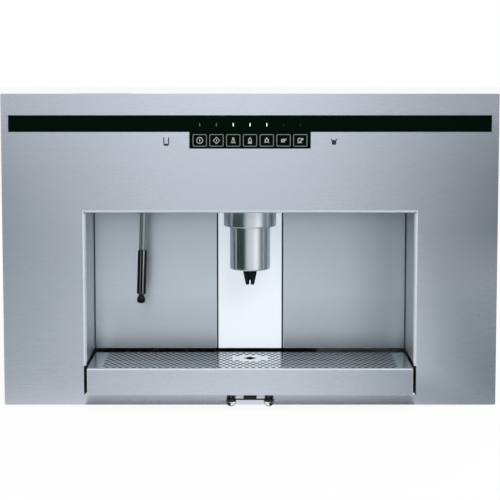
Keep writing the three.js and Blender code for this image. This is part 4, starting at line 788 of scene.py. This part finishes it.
class COFFEE_OT_signs(bpy.types.Operator):
    """Signs for the water tank and the grounds drawer, printed on the plate"""

    bl_idname = "coffee.signs"
    bl_label = "Signs"

    def execute(self, context):
        tank = Strokes(-100.0 * MM, PLATE_FRONT, 321.5 * MM)
        for way in (-1, 1):
            tank.line(way * 2.9, 4.6, way * 2.6, -4.0, 1.3)
        tank.bar(0, -4.2, 5.8, 2.4, 0.8)
        printed("tank_sign", tank.made, "machine", "dark_sign")
        grounds = Strokes(100.2 * MM, PLATE_FRONT, 320.5 * MM)
        grounds.bar(0, -0.4, 5.2, 5.6, 0.6)
        for way in (-1, 1):
            grounds.line(way * 3.8, 3.9, way * 2.4, 1.8, 1.1)
        printed("grounds_sign", grounds.made, "machine", "dark_sign")
        return {"FINISHED"}


class COFFEE_OT_recess(bpy.types.Operator):
    """Walls, ceiling and light panel of the cup recess"""

    bl_idname = "coffee.recess"
    bl_label = "Cup recess"

    def execute(self, context):
        overlap, proud, sunk = 0.9 * MM, 0.3 * MM, 0.6 * MM
        for side, sign in SIDES:
            # painted highlight on the edges of each wall and back
            paint_edge_highlights(dress(f"recess_wall_{side}", "wall", 0.3 * MM))
            paint_edge_highlights(dress(f"recess_back_{side}", "recess", 0.5 * MM))
            wall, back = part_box(f"recess_wall_{side}"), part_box(f"recess_back_{side}")
            corner = (wall[1].x, back[0].x) if sign < 0 else (wall[0].x, back[1].x)
            start, end = min(corner) - overlap * (sign > 0), max(corner) + overlap * (sign < 0)
            seam = slab(f"recess_seam_{side}", (start, back[0].y - proud, back[0].z),
                        (end, back[0].y + sunk, back[1].z))
            finish_piece(round_edges(seam, 0.1 * MM), "machine", "seam")
        dress("recess_ceiling", "recess", 0.3 * MM)
        dress("light_panel", "opal", 0.4 * MM, "lit_panel")
        dress("lamp_housing", "seam", 0.4 * MM)
        return {"FINISHED"}


class COFFEE_OT_spout(bpy.types.Operator):
    """Polished spout: fixed housing, telescoping sleeve and twin outlets"""

    bl_idname = "coffee.spout"
    bl_label = "Coffee spout"

    def execute(self, context):
        housing, sleeve, nozzles = (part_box(f"spout_{part}") for part in ("housing", "sleeve", "nozzles"))
        axis = Vector((0, (housing[0].y + housing[1].y) / 2, 0))
        fillet = 1.6 * MM
        low, top, wide = housing[0].z, housing[1].z, 32.4 * MM
        flange, ceiling = wide + 7 * MM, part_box("recess_ceiling")[1].z + 0.3 * MM
        profile = [(25.4 * MM, low + 38 * MM), (25.4 * MM, low + 0.4 * MM), (25.8 * MM, low),
                   *arc(wide - fillet, low + fillet, fillet, -90, 0), (wide, ceiling),
                   (flange, ceiling), (flange, ceiling + 3 * MM), (wide, ceiling + 3 * MM),
                   (wide, top - 12 * MM), (wide - 1 * MM, top - 11 * MM), (5 * MM, top - 11 * MM),
                   (4.6 * MM, top - 10 * MM), (4.6 * MM, top)]
        finish_piece(turned("spout_cylinder", axis, UP, profile, 96), "machine", "spout_steel",
                     ("spout_housing",))
        low, top, wide = sleeve[0].z, sleeve[1].z, 25 * MM
        profile = [(9.6 * MM, low + 0.5 * MM), (10 * MM, low), *arc(wide - fillet, low + fillet, fillet, -90, 0),
                   (wide, top - 0.5 * MM), (wide - 0.5 * MM, top), (wide - 2.5 * MM, top)]
        finish_piece(turned("spout_slide", axis, UP, profile, 96), "spout", "spout_steel",
                     ("spout_sleeve",))
        finish_piece(self.outlets(axis, nozzles[0].z, nozzles[1].z), "spout", "dark_chrome",
                     ("spout_nozzles",))
        return {"FINISHED"}

    def outlets(self, axis, low, top):
        """Two tapering legs that lean together, with a web between them, under one collar."""
        parts = [
            turned("spout_collar", axis, UP, [(8.7 * MM, top - 2.5 * MM), (9.0 * MM, top - 2.2 * MM),
                                              (9.0 * MM, top - 0.4 * MM), (8.6 * MM, top)], 48),
            turned("spout_web", axis, UP, [(0.6 * MM, low + 5.5 * MM), (1.6 * MM, low + 6 * MM),
                                           (2.6 * MM, top - 6 * MM), (3.2 * MM, top - 1.5 * MM)], 24)]
        for sign in (-1, 1):
            tip = axis + Vector((sign * 3.0 * MM, 0, low))
            root = axis + Vector((sign * 4.5 * MM, 0, top - 1.5 * MM))
            run = (root - tip).length
            parts.append(turned("spout_leg", tip, root - tip, [
                (1.1 * MM, 3 * MM), (1.1 * MM, 0), (1.9 * MM, 0), (2.2 * MM, 0.4 * MM), (3.0 * MM, run * 0.35),
                (3.9 * MM, run * 0.7), (4.2 * MM, run * 0.86), (4.2 * MM, run)], 40))
        return joined("spout_outlets", parts)


class COFFEE_OT_wand(bpy.types.Operator):
    """Steam wand with its socket, tube, sleeve and tip"""

    bl_idname = "coffee.wand"
    bl_label = "Steam wand"

    def execute(self, context):
        dress("wand_socket", "cast", 0.3 * MM)
        dress("wand_collar", "black_plastic", 0.3 * MM)
        ball, tube = 8 * MM, 4.5 * MM
        meeting = 90 - math.degrees(math.asin(tube / ball))
        self.turn("wand_pipe", [
            *arc(0, 0, ball, -89, meeting, 16), (tube, 52.2 * MM), (4.9 * MM, 52.4 * MM), (4.9 * MM, 53.2 * MM),
            (tube, 53.4 * MM)], "wand_steel", "polished_steel", "wand_tube")
        start, end, wide = 53.7 * MM, 108.5 * MM, WAND_SLEEVE
        self.turn("wand_sleeve", [
            (4.0 * MM, start), *arc(wide - 1.0 * MM, start + 1.0 * MM, 1.0 * MM, -90, 0, 5),
            *arc(wide - 1.2 * MM, end - 1.2 * MM, 1.2 * MM, 0, 90, 5), (3.6 * MM, end)],
            "wand_painted_highlights", "black_plastic", "wand_grip")
        start, end, round_off = 108.8 * MM, 119.6 * MM, 2.4 * MM
        self.turn("wand_nozzle", [
            (3.4 * MM, start), (3.4 * MM, start + 1.6 * MM), (4.1 * MM, start + 3.2 * MM),
            (5.0 * MM, start + 4.6 * MM), (5.2 * MM, start + 6.0 * MM),
            *arc(2.8 * MM, end - round_off, round_off, 0, 90), (1.0 * MM, end), (1.0 * MM, end - 4 * MM)],
            "dark_chrome", "polished_steel", "wand_tip")
        return {"FINISHED"}

    def turn(self, name, profile, look, slot, node):
        """One turned piece, with heights counted down from the middle of the wand's ball."""
        lean = math.radians(WAND_LEAN)
        down = (-math.sin(lean), 0, -math.cos(lean))
        finish_piece(turned(name, WAND_PIVOT, down, profile, 48), "wand", look, (node,))


DRAIN, PLAIN = 8.4 * MM, 21 * MM                 # half diagonals of the drain and of the plain diamond round it


def off_middle(point, middle):
    """How far a point lies from the middle, in half diagonals of a diamond."""
    return abs(point.x) + abs(point.y - middle.y)


class COFFEE_OT_tray(bpy.types.Operator):
    """Drip tray, its front, its perforated grid and the pull bar"""

    bl_idname = "coffee.tray"
    bl_label = "Drip tray"

    def execute(self, context):
        dress("tray_basin", "black_plastic", 0.4 * MM)
        # painted highlight on the tray front's rounded top edge
        paint_edge_highlights(dress("tray_front", "tray_steel", 0.5 * MM, segments=3), 0.97)
        self.grid(context.scene.coffee_sizes)
        self.pull_bar()
        for side, _ in SIDES:
            dress(f"tray_runner_{side}", "zinc", 0.3 * MM)
        return {"FINISHED"}

    def pull_bar(self):
        """Two chrome balls in black clips, with a thin rod and a catch between them."""
        low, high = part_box("tray_pull_bar")
        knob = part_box("pull_knob_left")
        y, z, reach = (knob[0].y + knob[1].y) / 2, (knob[0].z + knob[1].z) / 2, 22.8 * MM
        rod, end, half_catch, half_clip, radius = 0.9 * MM, 0.1 * MM, 7.9 * MM, 4.8 * MM, 5.6 * MM
        parts = [
            turned("pull_rod", (-reach, low.y + 1.6 * MM, z + 2.4 * MM), (1, 0, 0), [
                (rod - end, 0), (rod, end), (rod, 2 * reach - end), (rod - end, 2 * reach)], 20),
            round_edges(slab("pull_catch", (-half_catch, low.y + 0.4 * MM, high.z - 7.2 * MM),
                             (half_catch, high.y, high.z)), 0.3 * MM)]
        for x in (-reach, reach):
            parts.append(round_edges(slab("pull_clip", (x - half_clip, low.y, z + 1.4 * MM),
                                          (x + half_clip, high.y, high.z)), 0.5 * MM))
            # painted reflection: a black cap over the ball's upper half and a black ring round its edge stand for the
            # dark things it mirrors
            parts.append(turned("pull_cap_painted_reflection", (x, y, z), UP, arc(0, 0, radius + 0.06 * MM, 2, 86, 12), 40))
            deselect()
            bpy.ops.mesh.primitive_torus_add(
                major_radius=radius - 0.1 * MM, minor_radius=0.6 * MM, major_segments=48, minor_segments=12,
                location=(x, y, z), rotation=(math.radians(75), 0, 0))
            parts.append(new_piece("pull_ring_painted_reflection"))
        finish_piece(joined("pull_strap", parts), "tray", "black_gloss", ("tray_pull_bar",))
        profile = [(1.0 * MM, -radius + 0.9 * MM), (1.3 * MM, -radius + end), *arc(0, 0, radius, -74, 68, 20),
                   (2.0 * MM, radius - end), (2.0 * MM, radius)]
        for side, sign in SIDES:
            ball = turned(f"chrome_ball_{side}", (sign * reach, y, z), UP, profile, 48)
            finish_piece(ball, "tray", "chrome", (f"pull_knob_{side}",))

    def grid(self, sizes):
        """Perforated sheet: staggered six-sided cells, trimmed to the tray, opened, with its edges turned down."""
        low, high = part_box("drip_grid")
        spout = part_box("spout_housing")
        middle = Vector((0, (spout[0].y + spout[1].y) / 2 - 3.4 * MM, high.z))
        pitch, hole = sizes.hole_pitch, sizes.hole
        radius = pitch / math.sqrt(3)
        row = 1.5 * radius
        columns = 2 * math.ceil(high.x / pitch) + 3
        pairs_ahead = math.ceil((middle.y - low.y) / row / 2 + 0.5)
        pairs = pairs_ahead + math.ceil((high.y - middle.y) / row / 2 + 0.5)
        deselect()
        bpy.ops.mesh.primitive_circle_add(
            vertices=6, radius=radius, fill_type="NGON",
            location=middle - Vector((pitch * (columns - 1) / 2, 2 * row * pairs_ahead, 0)))
        sheet = new_piece("drip_grid_sheet")
        for count, step in ((columns, (pitch, 0, 0)), (2, (pitch / 2, row, 0)), (pairs, (0, 2 * row, 0))):
            modify(sheet, "ARRAY", count=count, use_relative_offset=False, use_constant_offset=True,
                   constant_offset_displace=step)
        edit_all(sheet)
        bpy.ops.mesh.remove_doubles(threshold=10 * WELD)
        for place, normal in (((high.x, 0, 0), (1, 0, 0)), ((low.x, 0, 0), (-1, 0, 0)),
                              ((0, high.y, 0), (0, 1, 0)), ((0, low.y, 0), (0, -1, 0))):
            bpy.ops.mesh.select_all(action="SELECT")
            bpy.ops.mesh.bisect(plane_co=place, plane_no=normal, clear_outer=True)
        self.drain(sheet, middle)
        self.holes(sheet, middle, hole, (pitch - hole) / 2)
        for axis, edge in ((0, high.x), (0, low.x), (1, high.y), (1, low.y)):
            points = sheet.data.vertices
            pick(sheet, lambda e: all(abs(points[v].co[axis] - edge) < WELD for v in e.vertices), "EDGE")
            bpy.ops.mesh.extrude_edges_move(TRANSFORM_OT_translate={"value": (0, 0, low.z - high.z)})
            leave_edit()
        edit_all(sheet)
        bpy.ops.mesh.remove_doubles(threshold=WELD)
        bpy.ops.mesh.normals_make_consistent(inside=False)
        if sum(face.normal.z * face.area for face in sheet.data.polygons) < 0:
            bpy.ops.mesh.flip_normals()
        leave_edit()
        modify(sheet, "SOLIDIFY", thickness=sizes.grid_sheet, offset=-1)
        finish_piece(sheet, "grid", "grid_steel", ("drip_grid",))

    def drain(self, sheet, middle):
        """Cuts the diamond drain under the spout, out of the faces round it only."""
        for turn in range(4):
            angle = math.pi / 4 + turn * math.pi / 2
            normal = Vector((math.cos(angle), math.sin(angle), 0))
            pick(sheet, lambda face: off_middle(face.center, middle) < DRAIN + 12 * MM)
            bpy.ops.mesh.bisect(plane_co=middle + normal * DRAIN / math.sqrt(2), plane_no=normal)
            leave_edit()
        points = sheet.data.vertices
        pick(sheet, lambda face: off_middle(face.center, middle) < DRAIN and all(
            off_middle(points[v].co, middle) < DRAIN + WELD for v in face.vertices))
        bpy.ops.mesh.delete(type="FACE")
        leave_edit()

    def holes(self, sheet, middle, hole, bar_half):
        """Opens a twelve-sided hole in every whole cell of the field, outside the plain diamond."""
        low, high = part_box("drip_grid")
        side = high.x - bpy.context.scene.coffee_sizes.grid_rim - hole / 2
        end = hole / 2 + 1.6 * MM
        whole = 0.99 * 6 * (hole / 2 + bar_half) ** 2 / math.sqrt(3)

        def opened(face):
            return (len(face.vertices) == 6 and face.area > whole and abs(face.center.x) < side
                    and low.y + end < face.center.y < high.y - end and off_middle(face.center, middle) > PLAIN)

        pick(sheet, opened)
        bpy.ops.mesh.inset(thickness=bar_half, use_individual=True)
        corner = hole * (math.tan(math.pi / 6) - math.tan(math.pi / 12)) / 2
        bpy.ops.mesh.bevel(offset=corner, segments=1, affect="VERTICES")
        pick(sheet, lambda face: len(face.vertices) == 12)
        bpy.ops.mesh.delete(type="FACE")
        leave_edit()


# ---------------------------------------------------------------- operators: inside and behind
def raised_panel(node, name):
    """A lid's raised middle, with a ribbed grip near its front edge."""
    low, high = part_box(node)
    rim, rise, sunk = 9 * MM, 0.35 * MM, 0.2 * MM
    panel = slab("panel", (low.x + rim, low.y + 2 * rim, high.z - sunk), (high.x - rim, high.y - rim, high.z + rise))
    pick(panel, lambda face: face.normal.z > 0.9)
    bpy.ops.mesh.inset(thickness=5 * MM)
    bpy.ops.transform.translate(value=(0, 0, -sunk))
    leave_edit()
    parts = [round_edges(panel, 0.15 * MM)]
    middle, half, first, pitch, wide = (low.x + high.x) / 2, 16 * MM, 4 * MM, 3.2 * MM, 1.5 * MM
    for row in range(4):
        y = low.y + first + pitch * row
        parts.append(round_edges(slab("rib", (middle - half, y, high.z - sunk),
                                      (middle + half, y + wide, high.z + rise)), 0.2 * MM))
    finish_piece(joined(f"{name}_lid_panel", parts), BODY_OF[node], "grey_plastic")


class COFFEE_OT_water(bpy.types.Operator):
    """Water tank with its lid and cradle"""

    bl_idname = "coffee.water"
    bl_label = "Water tank"

    def execute(self, context):
        dress("water_tank", "clear", 0.6 * MM)
        dress("tank_lid", "grey_plastic", 0.6 * MM)
        dress("tank_cradle", "grey_plastic", 0.4 * MM)
        raised_panel("tank_lid", "tank")
        return {"FINISHED"}


class COFFEE_OT_beans(bpy.types.Operator):
    """Bean hopper, grinder and grounds drawer"""

    bl_idname = "coffee.beans"
    bl_label = "Beans and grounds"

    def execute(self, context):
        dress("bean_hopper", "clear", 0.6 * MM)
        dress("hopper_lid", "grey_plastic", 0.6 * MM)
        raised_panel("hopper_lid", "hopper")
        dress("grinder", "cast", 0.4 * MM)
        dress("drawer_guide", "zinc", 0.3 * MM)
        dress("grounds_drawer", "black_plastic", 0.6 * MM)
        return {"FINISHED"}


class COFFEE_OT_works(bpy.types.Operator):
    """Brewing unit, boiler, pump, boards and hoses"""

    bl_idname = "coffee.works"
    bl_label = "Works"

    def execute(self, context):
        looks = {
            "brew_unit": ("black_plastic", "black_plastic"), "boiler": ("cast", "cast_metal"),
            "pump": ("cast", "cast_metal"), "power_board": ("board", "circuit_board"),
            "mains_inlet": ("black_plastic", "black_plastic"), "control_board": ("board", "circuit_board"),
            "coffee_hose": ("silicone", "silicone")}
        for node, (look, slot) in looks.items():
            dress(node, look, 0.3 * MM)
        return {"FINISHED"}


# screws of the casing, in millimetres: x and z on the back, y and z on both sides, x and y on top
BACK_SCREWS = ((-246, 352), (-123, 352), (0, 352), (123, 352), (246, 352), (-246, 220), (246, 220), (-246, 90),
               (246, 90), (-246, 24), (-123, 24), (123, 24), (246, 24))
SIDE_SCREWS = ((-165, 352), (-50, 352), (60, 352), (158, 352), (-165, 210), (158, 210), (-165, 76), (158, 76))
TOP_SCREWS = ((-252, -174), (-126, -174), (0, -174), (126, -174), (252, -174), (-252, 162), (-126, 162), (0, 162),
              (126, 162), (252, 162), (254, -40))
SCREW = 3.2 * MM                                 # radius of a head
VENT_COLUMNS, VENT_ROWS = (-150, -84, 84, 150), range(216, 342, 14)


class COFFEE_OT_casing(bpy.types.Operator):
    """Sheet casing behind the front"""

    bl_idname = "coffee.casing"
    bl_label = "Casing"

    def execute(self, context):
        for node in ("front_frame", "chassis_floor", "side_panel_left", "side_panel_right", "back_panel",
                     "top_cover"):
            dress(node, "zinc", 0.3 * MM)
        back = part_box("back_panel")[1].y
        self.screws(back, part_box("side_panel_right")[1].x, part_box("top_cover")[1].z)
        self.vents(back)
        return {"FINISHED"}

    def screws(self, back, flank, top):
        """Pan heads with a socket."""
        head = turned("screw_head", (0, 0, 0), UP, [
            (SCREW * 0.42, 0.5 * MM), (SCREW * 0.42, 1.5 * MM), (SCREW * 0.8, 1.4 * MM), (SCREW, 0.7 * MM),
            (SCREW, 0)], 16)
        places = [((x * MM, back, z * MM), pointing((0, 1, 0))) for x, z in BACK_SCREWS]
        places += [((sign * flank, y * MM, z * MM), pointing((sign, 0, 0)))
                   for _, sign in SIDES for y, z in SIDE_SCREWS]
        places += [((x * MM, y * MM, top), pointing(UP)) for x, y in TOP_SCREWS]
        finish_piece(copies("casing_screws", head, places), "machine", "screw")

    def vents(self, back):
        """Pressed louvres, each a hood that slopes back into the sheet over a dark slab: a painted shadow where its
        slot opens.
        """
        half, reach, rise = 26 * MM, 3.5 * MM, 2.4 * MM
        hood = slab("hood", (-half, -reach, 0), (half, reach, rise))
        points = hood.data.vertices
        pick(hood, lambda edge: all(points[v].co.z > rise / 2 and points[v].co.y > 0 for v in edge.vertices), "EDGE")
        bpy.ops.transform.translate(value=(0, 0, 0.3 * MM - rise))
        leave_edit()
        round_edges(hood, 0.7 * MM, 3, 20)
        half, start, end = 24.5 * MM, -5.2 * MM, -3.2 * MM
        slot = round_edges(slab("slot", (-half, start, 0), (half, end, 0.25 * MM)), 0.1 * MM)
        upright = (math.pi / 2, 0, math.pi)
        places = [((x * MM, back, z * MM), upright) for z in VENT_ROWS for x in VENT_COLUMNS]
        finish_piece(copies("vent_louvres", hood, places), "machine", "zinc")
        # the dark slabs are the painted shadow in each louvre's slot
        finish_piece(copies("vent_slot_shadows", slot, places), "machine", "painted_shadow")


class COFFEE_OT_runners(bpy.types.Operator):
    """Telescopic runners and mounting base"""

    bl_idname = "coffee.runners"
    bl_label = "Runners"

    def execute(self, context):
        for node in NODES:
            if node.startswith("rail_"):
                dress(node, "rail", 0.3 * MM)
        dress("mounting_base", "zinc", 0.3 * MM)
        return {"FINISHED"}


# ---------------------------------------------------------------- operators: stage
CAMERA_DISTANCE = 1.5047                         # from the face plate
CAMERA_HEIGHT, CAMERA_TILT, CAMERA_LENS, CAMERA_SHIFT = 0.4051, 4.2576, 90.97, -0.17
SKY_LEVEL = 2.1                                  # what metal mirrors above the floor
SCATTER_LEVEL = 0.5                              # the world's level for light that scatters
FLOOR_WHITE, FLOOR_SHARE = 1.08, 0.8             # what the camera sees of the floor: its glow, and how much of it
FLOOR_BEHIND = 0.9                               # what metal mirrors of the floor behind the face plate
FLOOR_PAINT, FLOOR_WIDTH, FLOOR_DROP = (0.85, 0.85, 0.85), 60, 0.5 * MM  # drop: how far under the machine it lies
# the studio that metal mirrors, from left to right; a place is how far aside for each metre ahead
SIDE_LEVELS = ((-0.42, 0.9), (-0.3, 0.45), (-0.2, 0.56), (-0.15, 0.68), (-0.1, 0.84), (-0.04, 1.0), (0.03, 1.0),
               (0.08, 0.8), (0.14, 0.35), (0.17, 0.24), (0.2, 0.16), (0.3, 0.1), (0.45, 0.9))
SIDE_CLIMB = (0.05, 0.25, 0.14)                  # between these heights of the sky that shade gives way by this share
SIDE_NEAR, SIDE_REACH = 0.78, 0.35               # that shade right in front, and how far on it is full
# its sky by height, and its floor by metres in front of the face plate
SKY_LEVELS = ((0.0, 0.64), (0.06, 0.78), (0.12, 1.02), (0.2, 0.94), (0.35, 0.54))
FLOOR_LEVELS = ((0.0, 0.98), (0.12, 0.62), (0.3, 0.8), (0.6, 0.15), (1.0, 0.28), (2.2, 0.2), (4.8, 0.14), (9.5, 0.54),
                (20.0, 0.68))
# the ring of floor that the spout mirrors: where it starts and ends, and its levels by degrees aside
RING_START, RING_END = (0.8, 0.9), (2.15, 2.45)
RING_LEVELS = ((-90, 0.1), (-76, 0.03), (-62, 0.04), (-50, 0.03), (-37, 0.05), (-29, 0.15), (-20, 0.5), (-10, 0.68),
               (0, 0.73), (12, 0.8), (24, 0.95), (35, 1.08), (47, 0.85), (57, 0.45), (66, 0.25), (90, 0.3))
# the tray's shadow painted on the floor that metal mirrors: from and to how far aside, how far ahead, and its level
STRIP_INNER, STRIP_HALF, STRIP_REACH, STRIP_LEVEL = 0.024, 0.2, 0.035, 0.05
# the tint that goes with each mirrored level
STUDIO_TINTS = ((0.0, (0.55, 1.0, 1.0)), (0.2, (0.83, 1.0, 0.985)), (0.4, (0.945, 1.0, 0.995)),
                (0.7, (1.01, 1.0, 1.01)))
# each lamp's name, place, size and power, and where they all aim
STUDIO_LAMPS = (("key_light", (0.9, -2.2, 1.9), (1.6, 1.2), 26), ("fill_light", (-1.6, -1.6, 1.2), (1.2, 1.2), 7),
                ("rim_light", (0.3, 1.9, 1.9), (2.0, 1.0), 14))
STUDIO_AIM = (0, 0, 0.2)


class COFFEE_OT_stage(bpy.types.Operator):
    """Floor, light and camera of the studio"""

    bl_idname = "coffee.stage"
    bl_label = "Studio"

    def execute(self, context):
        scene = context.scene
        scene.view_settings.view_transform = "Standard"
        self.world(scene)
        self.floor()
        self.lamps(scene)
        self.camera(scene)
        return {"FINISHED"}

    def world(self, scene):
        """White, with a soft level for what light scatters and a shaded studio for what metal mirrors."""
        world = bpy.data.worlds.new("studio")
        world.use_nodes = True
        scene.world = world
        studio = Finish.for_tree(world.node_tree)
        camera, glossy, clear = studio.rays("Camera", "Glossy", "Transmission")
        way = studio.node("ShaderNodeSeparateXYZ", inputs={
            "Vector": studio.node("ShaderNodeTexCoord").outputs["Generated"]})
        x, y, z = (Value(studio, way.outputs[i]) for i in range(3))
        front = (0 - y).above(0.02)
        side = studio.table(x / (0 - y).most(0.02), SIDE_LEVELS)
        low, high, share = SIDE_CLIMB
        climb = studio.step(z, low, high) * share
        mirrored = front * (side + climb * (1 - side)) * studio.table(z, SKY_LEVELS) * SKY_LEVEL + (1 - front)
        plain = (1 - glossy) * (camera.most(clear) * (1 - SCATTER_LEVEL) + SCATTER_LEVEL)
        shade = studio.node("ShaderNodeBackground", inputs={
            "Color": studio.mix(glossy, (1, 1, 1), studio.ramp(mirrored, STUDIO_TINTS)),
            "Strength": glossy * mirrored + plain})
        studio.node("ShaderNodeOutputWorld", inputs={"Surface": shade.outputs[0]})

    def floor(self):
        """White floor that keeps the shadow; metal mirrors it darker some way in front."""
        finish = Finish("studio_floor")
        finish.tree.nodes.remove(finish.surface)
        camera, glossy = finish.rays("Camera", "Glossy")
        x, ahead = finish.axis("X"), PLATE_FRONT - finish.axis("Y")
        square, front = x * x, ahead.above(0.0)
        side = finish.table(x / (ahead + CAMERA_DISTANCE).most(0.3), SIDE_LEVELS)
        shade = (1 - side) * (finish.step(ahead, 0.0, SIDE_REACH) * (1 - SIDE_NEAR) + SIDE_NEAR)
        # painted shadow of the tray, only in what metal mirrors of the floor
        strip = square.above(STRIP_INNER ** 2) * square.below(STRIP_HALF ** 2) * ahead.below(STRIP_REACH)
        level = finish.table(ahead, FLOOR_LEVELS) * (1 - shade) * (1 - strip * (1 - STRIP_LEVEL))
        from_spout = ahead + SPOUT_BEHIND
        away = (from_spout * from_spout + square) ** 0.5
        ring = finish.step(away, *RING_START) * (1 - finish.step(away, *RING_END))
        turn = finish.table(finish.angle(x, from_spout) * (180 / math.pi), RING_LEVELS)
        mirrored = front * (level + ring * (turn - level)) + (1 - front) * FLOOR_BEHIND
        paint = finish.node("ShaderNodeBsdfDiffuse", inputs={"Color": FLOOR_PAINT})
        glow = finish.node("ShaderNodeEmission", inputs={
            "Color": finish.mix(glossy, (1, 1, 1), finish.ramp(mirrored, STUDIO_TINTS)),
            "Strength": camera * FLOOR_WHITE + glossy * mirrored})
        mixed = finish.node("ShaderNodeMixShader", inputs={
            0: camera * FLOOR_SHARE + glossy, 1: paint.outputs[0], 2: glow.outputs[0]})
        finish.feed(finish.output.inputs["Surface"], mixed.outputs[0])
        deselect()
        bpy.ops.mesh.primitive_plane_add(size=FLOOR_WIDTH, location=(0, 0, -FLOOR_DROP))
        floor = new_piece("studio_floor")
        floor.data.materials.append(finish.material)

    def lamps(self, scene):
        """Soft lamps that no metal mirrors."""
        for name, place, size, power in STUDIO_LAMPS:
            light = bpy.data.lights.new(name, "AREA")
            light.shape = "RECTANGLE"
            light.size, light.size_y = size
            light.energy = power
            lamp = bpy.data.objects.new(name, light)
            scene.collection.objects.link(lamp)
            lamp.location = place
            lamp.rotation_euler = (Vector(STUDIO_AIM) - Vector(place)).to_track_quat("-Z", "Y").to_euler()
            lamp.visible_glossy = False

    def camera(self, scene):
        """The photograph's view, with its frame shifted down a little."""
        data = bpy.data.cameras.new("photo_camera")
        data.lens, data.shift_y = CAMERA_LENS, CAMERA_SHIFT
        camera = bpy.data.objects.new("photo_camera", data)
        scene.collection.objects.link(camera)
        camera.location = (0, PLATE_FRONT - CAMERA_DISTANCE, CAMERA_HEIGHT)
        camera.rotation_euler = (math.radians(90 - CAMERA_TILT), 0, 0)
        scene.camera = camera


class COFFEE_PT_panel(bpy.types.Panel):
    """Lists the machine's sizes, finishes and building steps in the sidebar"""

    bl_label = "Coffee Machine"
    bl_idname = "COFFEE_PT_panel"
    bl_space_type = "VIEW_3D"
    bl_region_type = "UI"
    bl_category = "Coffee Machine"

    def draw(self, context):
        for group in (context.scene.coffee_sizes, context.scene.coffee_finishes):
            for name in group.bl_rna.properties.keys():
                if name not in ("rna_type", "name"):
                    self.layout.prop(group, name)
        for operator in STEPS:
            self.layout.operator(operator.bl_idname)


STEPS = (COFFEE_OT_stage, COFFEE_OT_face_plate, COFFEE_OT_display, COFFEE_OT_signs, COFFEE_OT_recess,
         COFFEE_OT_spout, COFFEE_OT_wand, COFFEE_OT_tray, COFFEE_OT_water, COFFEE_OT_beans,
         COFFEE_OT_works, COFFEE_OT_casing, COFFEE_OT_runners)
CLASSES = (CoffeeSizes, CoffeeFinishes, *STEPS, COFFEE_PT_panel)


def register():
    for cls in CLASSES:
        bpy.utils.register_class(cls)
    bpy.types.Scene.coffee_sizes = bpy.props.PointerProperty(type=CoffeeSizes)
    bpy.types.Scene.coffee_finishes = bpy.props.PointerProperty(type=CoffeeFinishes)


def unregister():
    del bpy.types.Scene.coffee_sizes
    del bpy.types.Scene.coffee_finishes
    for cls in reversed(CLASSES):
        bpy.utils.unregister_class(cls)


def main():
    """Builds the whole scene."""
    register()
    FINISHES.update(make_finishes())
    for step in STEPS:
        group, name = step.bl_idname.split(".")
        getattr(getattr(bpy.ops, group), name)()


if __name__ == "__main__":
    main()
